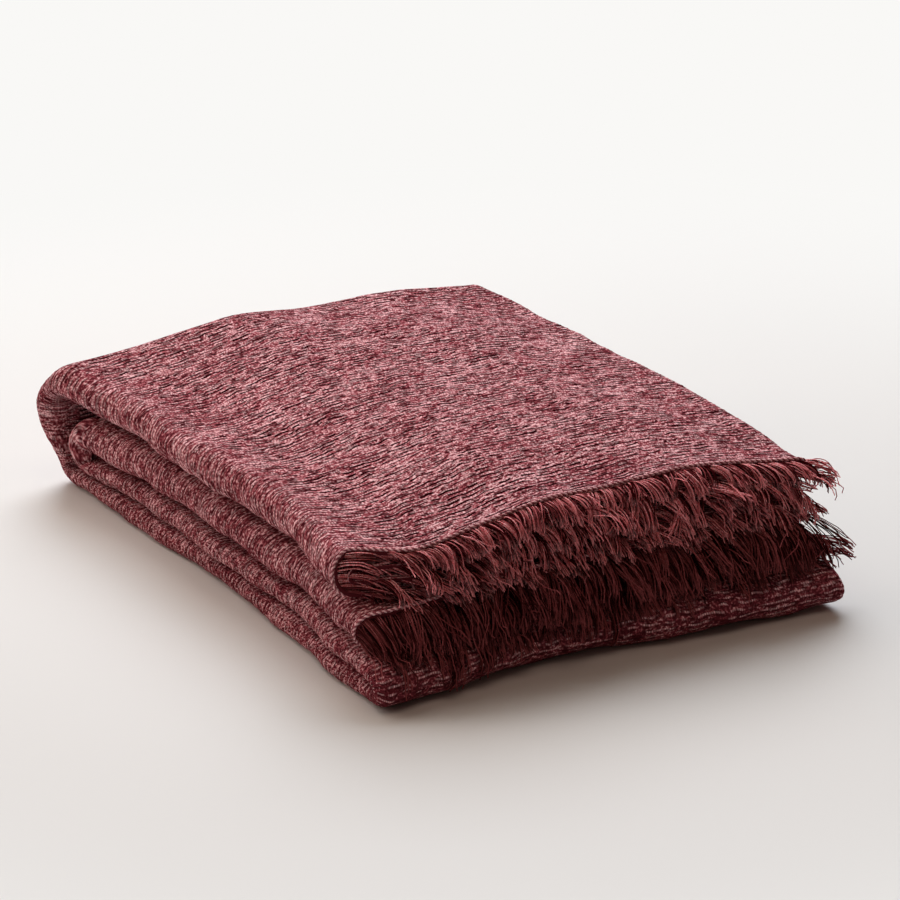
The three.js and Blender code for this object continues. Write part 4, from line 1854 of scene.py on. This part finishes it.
@dataclass(frozen=True)
class SoftLight:
    """One square soft light, aimed at the throw."""

    name: str
    place: tuple[float, float, float]
    size: float
    power: float
    colour: int

    def build(self) -> None:
        """Make the light."""
        light = bpy.data.lights.new(self.name, "AREA")
        light.shape, light.size, light.energy = "SQUARE", self.size, self.power
        light.color = linear(self.colour)[:3]
        lamp = link(self.name, light)
        lamp.location = self.place
        to_throw = Vector((0, 0, 0.04)) - Vector(self.place)
        lamp.rotation_euler = to_throw.to_track_quat("-Z", "Y").to_euler()


@dataclass
class Studio:
    """A pale table, soft light from behind, and a camera above the near corner."""

    fold: FoldedThrow
    yaw: float = math.radians(-29.5)
    pitch: float = math.radians(20.5)
    lens: float = 152.0
    place: tuple[float, float, float] = (-952.4, -1765.5, 907.8)     # millimetres
    table_reach: float = 12.0       # metres
    lights: tuple[SoftLight, ...] = (
        SoftLight("window_behind", (1.9, 3.3, 3.2), 3.4, 258.0, 0xF0F8FF),
        SoftLight("sky_on_the_left", (-0.6, 1.5, 2.1), 2.2, 29.0, 0xFFF8F0),
        SoftLight("low_left_fill", (-2.3, 1.6, 1.2), 1.6, 22.0, 0xFFEEE2),
        SoftLight("soft_front", (0.1, -0.9, 2.4), 1.4, 7.0, 0xFFE0CC),
    )

    def build(self) -> None:
        """Make the table, the lights and the camera."""
        mesh = bpy.data.meshes.new("table")
        r = self.table_reach
        mesh.from_pydata([(-r, -r, 0), (r, -r, 0), (r, r, 0), (-r, r, 0)], [], [(0, 1, 2, 3)])
        mesh.materials.append(TableFinish().build())
        link("table", mesh)
        for light in self.lights:
            light.build()
        self.surround()
        self.camera()

    def surround(self) -> None:
        """A white surround that lights the throw only faintly."""
        world = bpy.data.worlds.new("white_surround")
        world.use_nodes = True
        tree = world.node_tree
        tree.nodes.clear()
        seen = add(tree, "ShaderNodeLightPath", out="Is Camera Ray")
        dim, white = (add(tree, "ShaderNodeBackground", linear(colour), strength)
                      for colour, strength in ((0xFFE0CC, 0.075), (0xFCFBFA, 1.0)))
        add(tree, "ShaderNodeOutputWorld", add(tree, "ShaderNodeMixShader", seen, dim, white))
        bpy.context.scene.world = world
        bpy.context.scene.view_settings.view_transform = "Standard"

    def camera(self) -> None:
        """The camera, level from side to side."""
        a, e = self.yaw, self.pitch
        forward = Vector((-math.sin(a) * math.cos(e), math.cos(a) * math.cos(e), -math.sin(e)))
        right = Vector((math.cos(a), math.sin(a), 0))
        up = right.cross(forward)
        turn = Matrix((right, up, -forward)).transposed().to_4x4()
        data = bpy.data.cameras.new("camera")
        data.lens, data.sensor_width = self.lens, 36.0
        data.clip_start, data.clip_end = 0.05, 50.0
        eye = link("camera", data)
        place = self.fold.to_frame(np.array([self.place]))[0]
        eye.matrix_world = Matrix.Translation(Vector(place)) @ turn
        bpy.context.scene.camera = eye


# ---------------------------------------------------------------- all of it


TOP_END_ROWS = (
    FringeRow(0, 4.6, 10, 25, 6, 44, 1.0, swing=22, curl=36, lock_pitch=11),
    FringeRow(1, 3.4, 9, 30, 2, 34, 1.5, swing=6, curl=12, frizz=0.7),
    FringeRow(2, 3.8, 10, 24, 4, 88, 1.8, swing=22, curl=34, frizz=0.7, lock_pitch=10),
    FringeRow(3, 3.6, 10, 25, 0, 34, 1.4, swing=12, curl=20),
    FringeRow(4, 4.4, 11, 30, 8, 66, 1.2, swing=38, curl=52, frizz=0.8, lock_pitch=9, sag=38),
    FringeRow(5, 4.0, 8, 28, 10, 60, 1.2),
    FringeRow(6, 4.6, 11, 28, 8, 60, 1.1, swing=36, curl=50, frizz=0.9, lock_pitch=10, sag=36),
)
INNER_END_ROWS = (
    FringeRow(0, 4.2, 10, 38, 14, 86, 0.9, swing=22, curl=32, frizz=1.2, lock_pitch=10),
    FringeRow(1, 3.0, 12, 40, 20, 76, 0.9, swing=7, curl=12, frizz=0.8),
    FringeRow(2, 4.6, 10, 30, 8, 76, 1.1, swing=26, curl=40, frizz=1.2, lock_pitch=10),
    FringeRow(3, 3.4, 11, 34, 6, 44, 1.0),
    FringeRow(4, 4.6, 10, 34, 10, 80, 1.0, swing=26, curl=40, frizz=1.2, lock_pitch=10),
    FringeRow(5, 4.0, 8, 32, 20, 80, 1.0),
    FringeRow(6, 4.6, 10, 36, 12, 84, 0.95, swing=24, curl=36, frizz=1.2, lock_pitch=11),
)


def main() -> None:
    """Build the throw and its studio."""
    logging.basicConfig(level=logging.INFO, format="%(name)s %(message)s")
    fold = FoldedThrow()
    Studio(fold).build()
    cloth = ThrowCloth(fold, ChenilleFinish()).build()
    rose_yarn = YarnFinish("rose_warp_yarn", dark=0x3A090D, light=0xDC6E74, tip=0xFFC0C2)
    # The inner end's yarn is the same rose yarn painted darker: painted shade, where the end on top
    # overhangs it.
    rose_yarn_in_painted_shade = YarnFinish("wine_warp_yarn", dark=0x2C080A, light=0x8E4244, tip=0xA86264)
    # Its dark colour paints one ply darker: painted shade in the twist.
    locking_yarn = YarnFinish("pale_locking_yarn", dark=0x9A5860, light=0xF2B8BC, tip=0xF6CACC)
    twist = TwistTree().build(locking_yarn.build())
    outer = Fringe("fringe_of_top_end", fold, True, TOP_END_ROWS, seed=5)
    outer = outer.build(StrandTree("rose_clumps").build(rose_yarn.build()))
    inner = Fringe("fringe_of_inner_end", fold, False, INNER_END_ROWS, seed=9)
    inner = inner.build(StrandTree("wine_clumps").build(rose_yarn_in_painted_shade.build()))
    outer_lock = LockingRow("locking_row_of_top_end", fold, True, 1.15, 4.0).build(twist)
    inner_lock = LockingRow("locking_row_of_inner_end", fold, False, 0.5, 2.5).build(twist)
    pieces = (
        (cloth, "throw_cloth", "chenille_cloth"),
        (outer, "fringe_outer_end", "warp_fringe"),
        (inner, "fringe_inner_end", "warp_fringe"),
        (outer_lock, None, "chenille_cloth"),
        (inner_lock, None, "chenille_cloth"),
    )
    for piece, node, slot in pieces:
        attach(piece, "root")
        if node:
            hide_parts(node)
        triangles = sum(len(p.vertices) - 2 for p in piece.data.polygons)
        LOG.info("%s: %d triangles", piece.name, triangles)
    flat = (float(fold.weft_lengths.sum()) * MM, float(fold.warp_lengths.sum()) * MM)
    LOG.info("flat cloth %.3f x %.3f m", *flat)


if __name__ == "__main__":
    main()
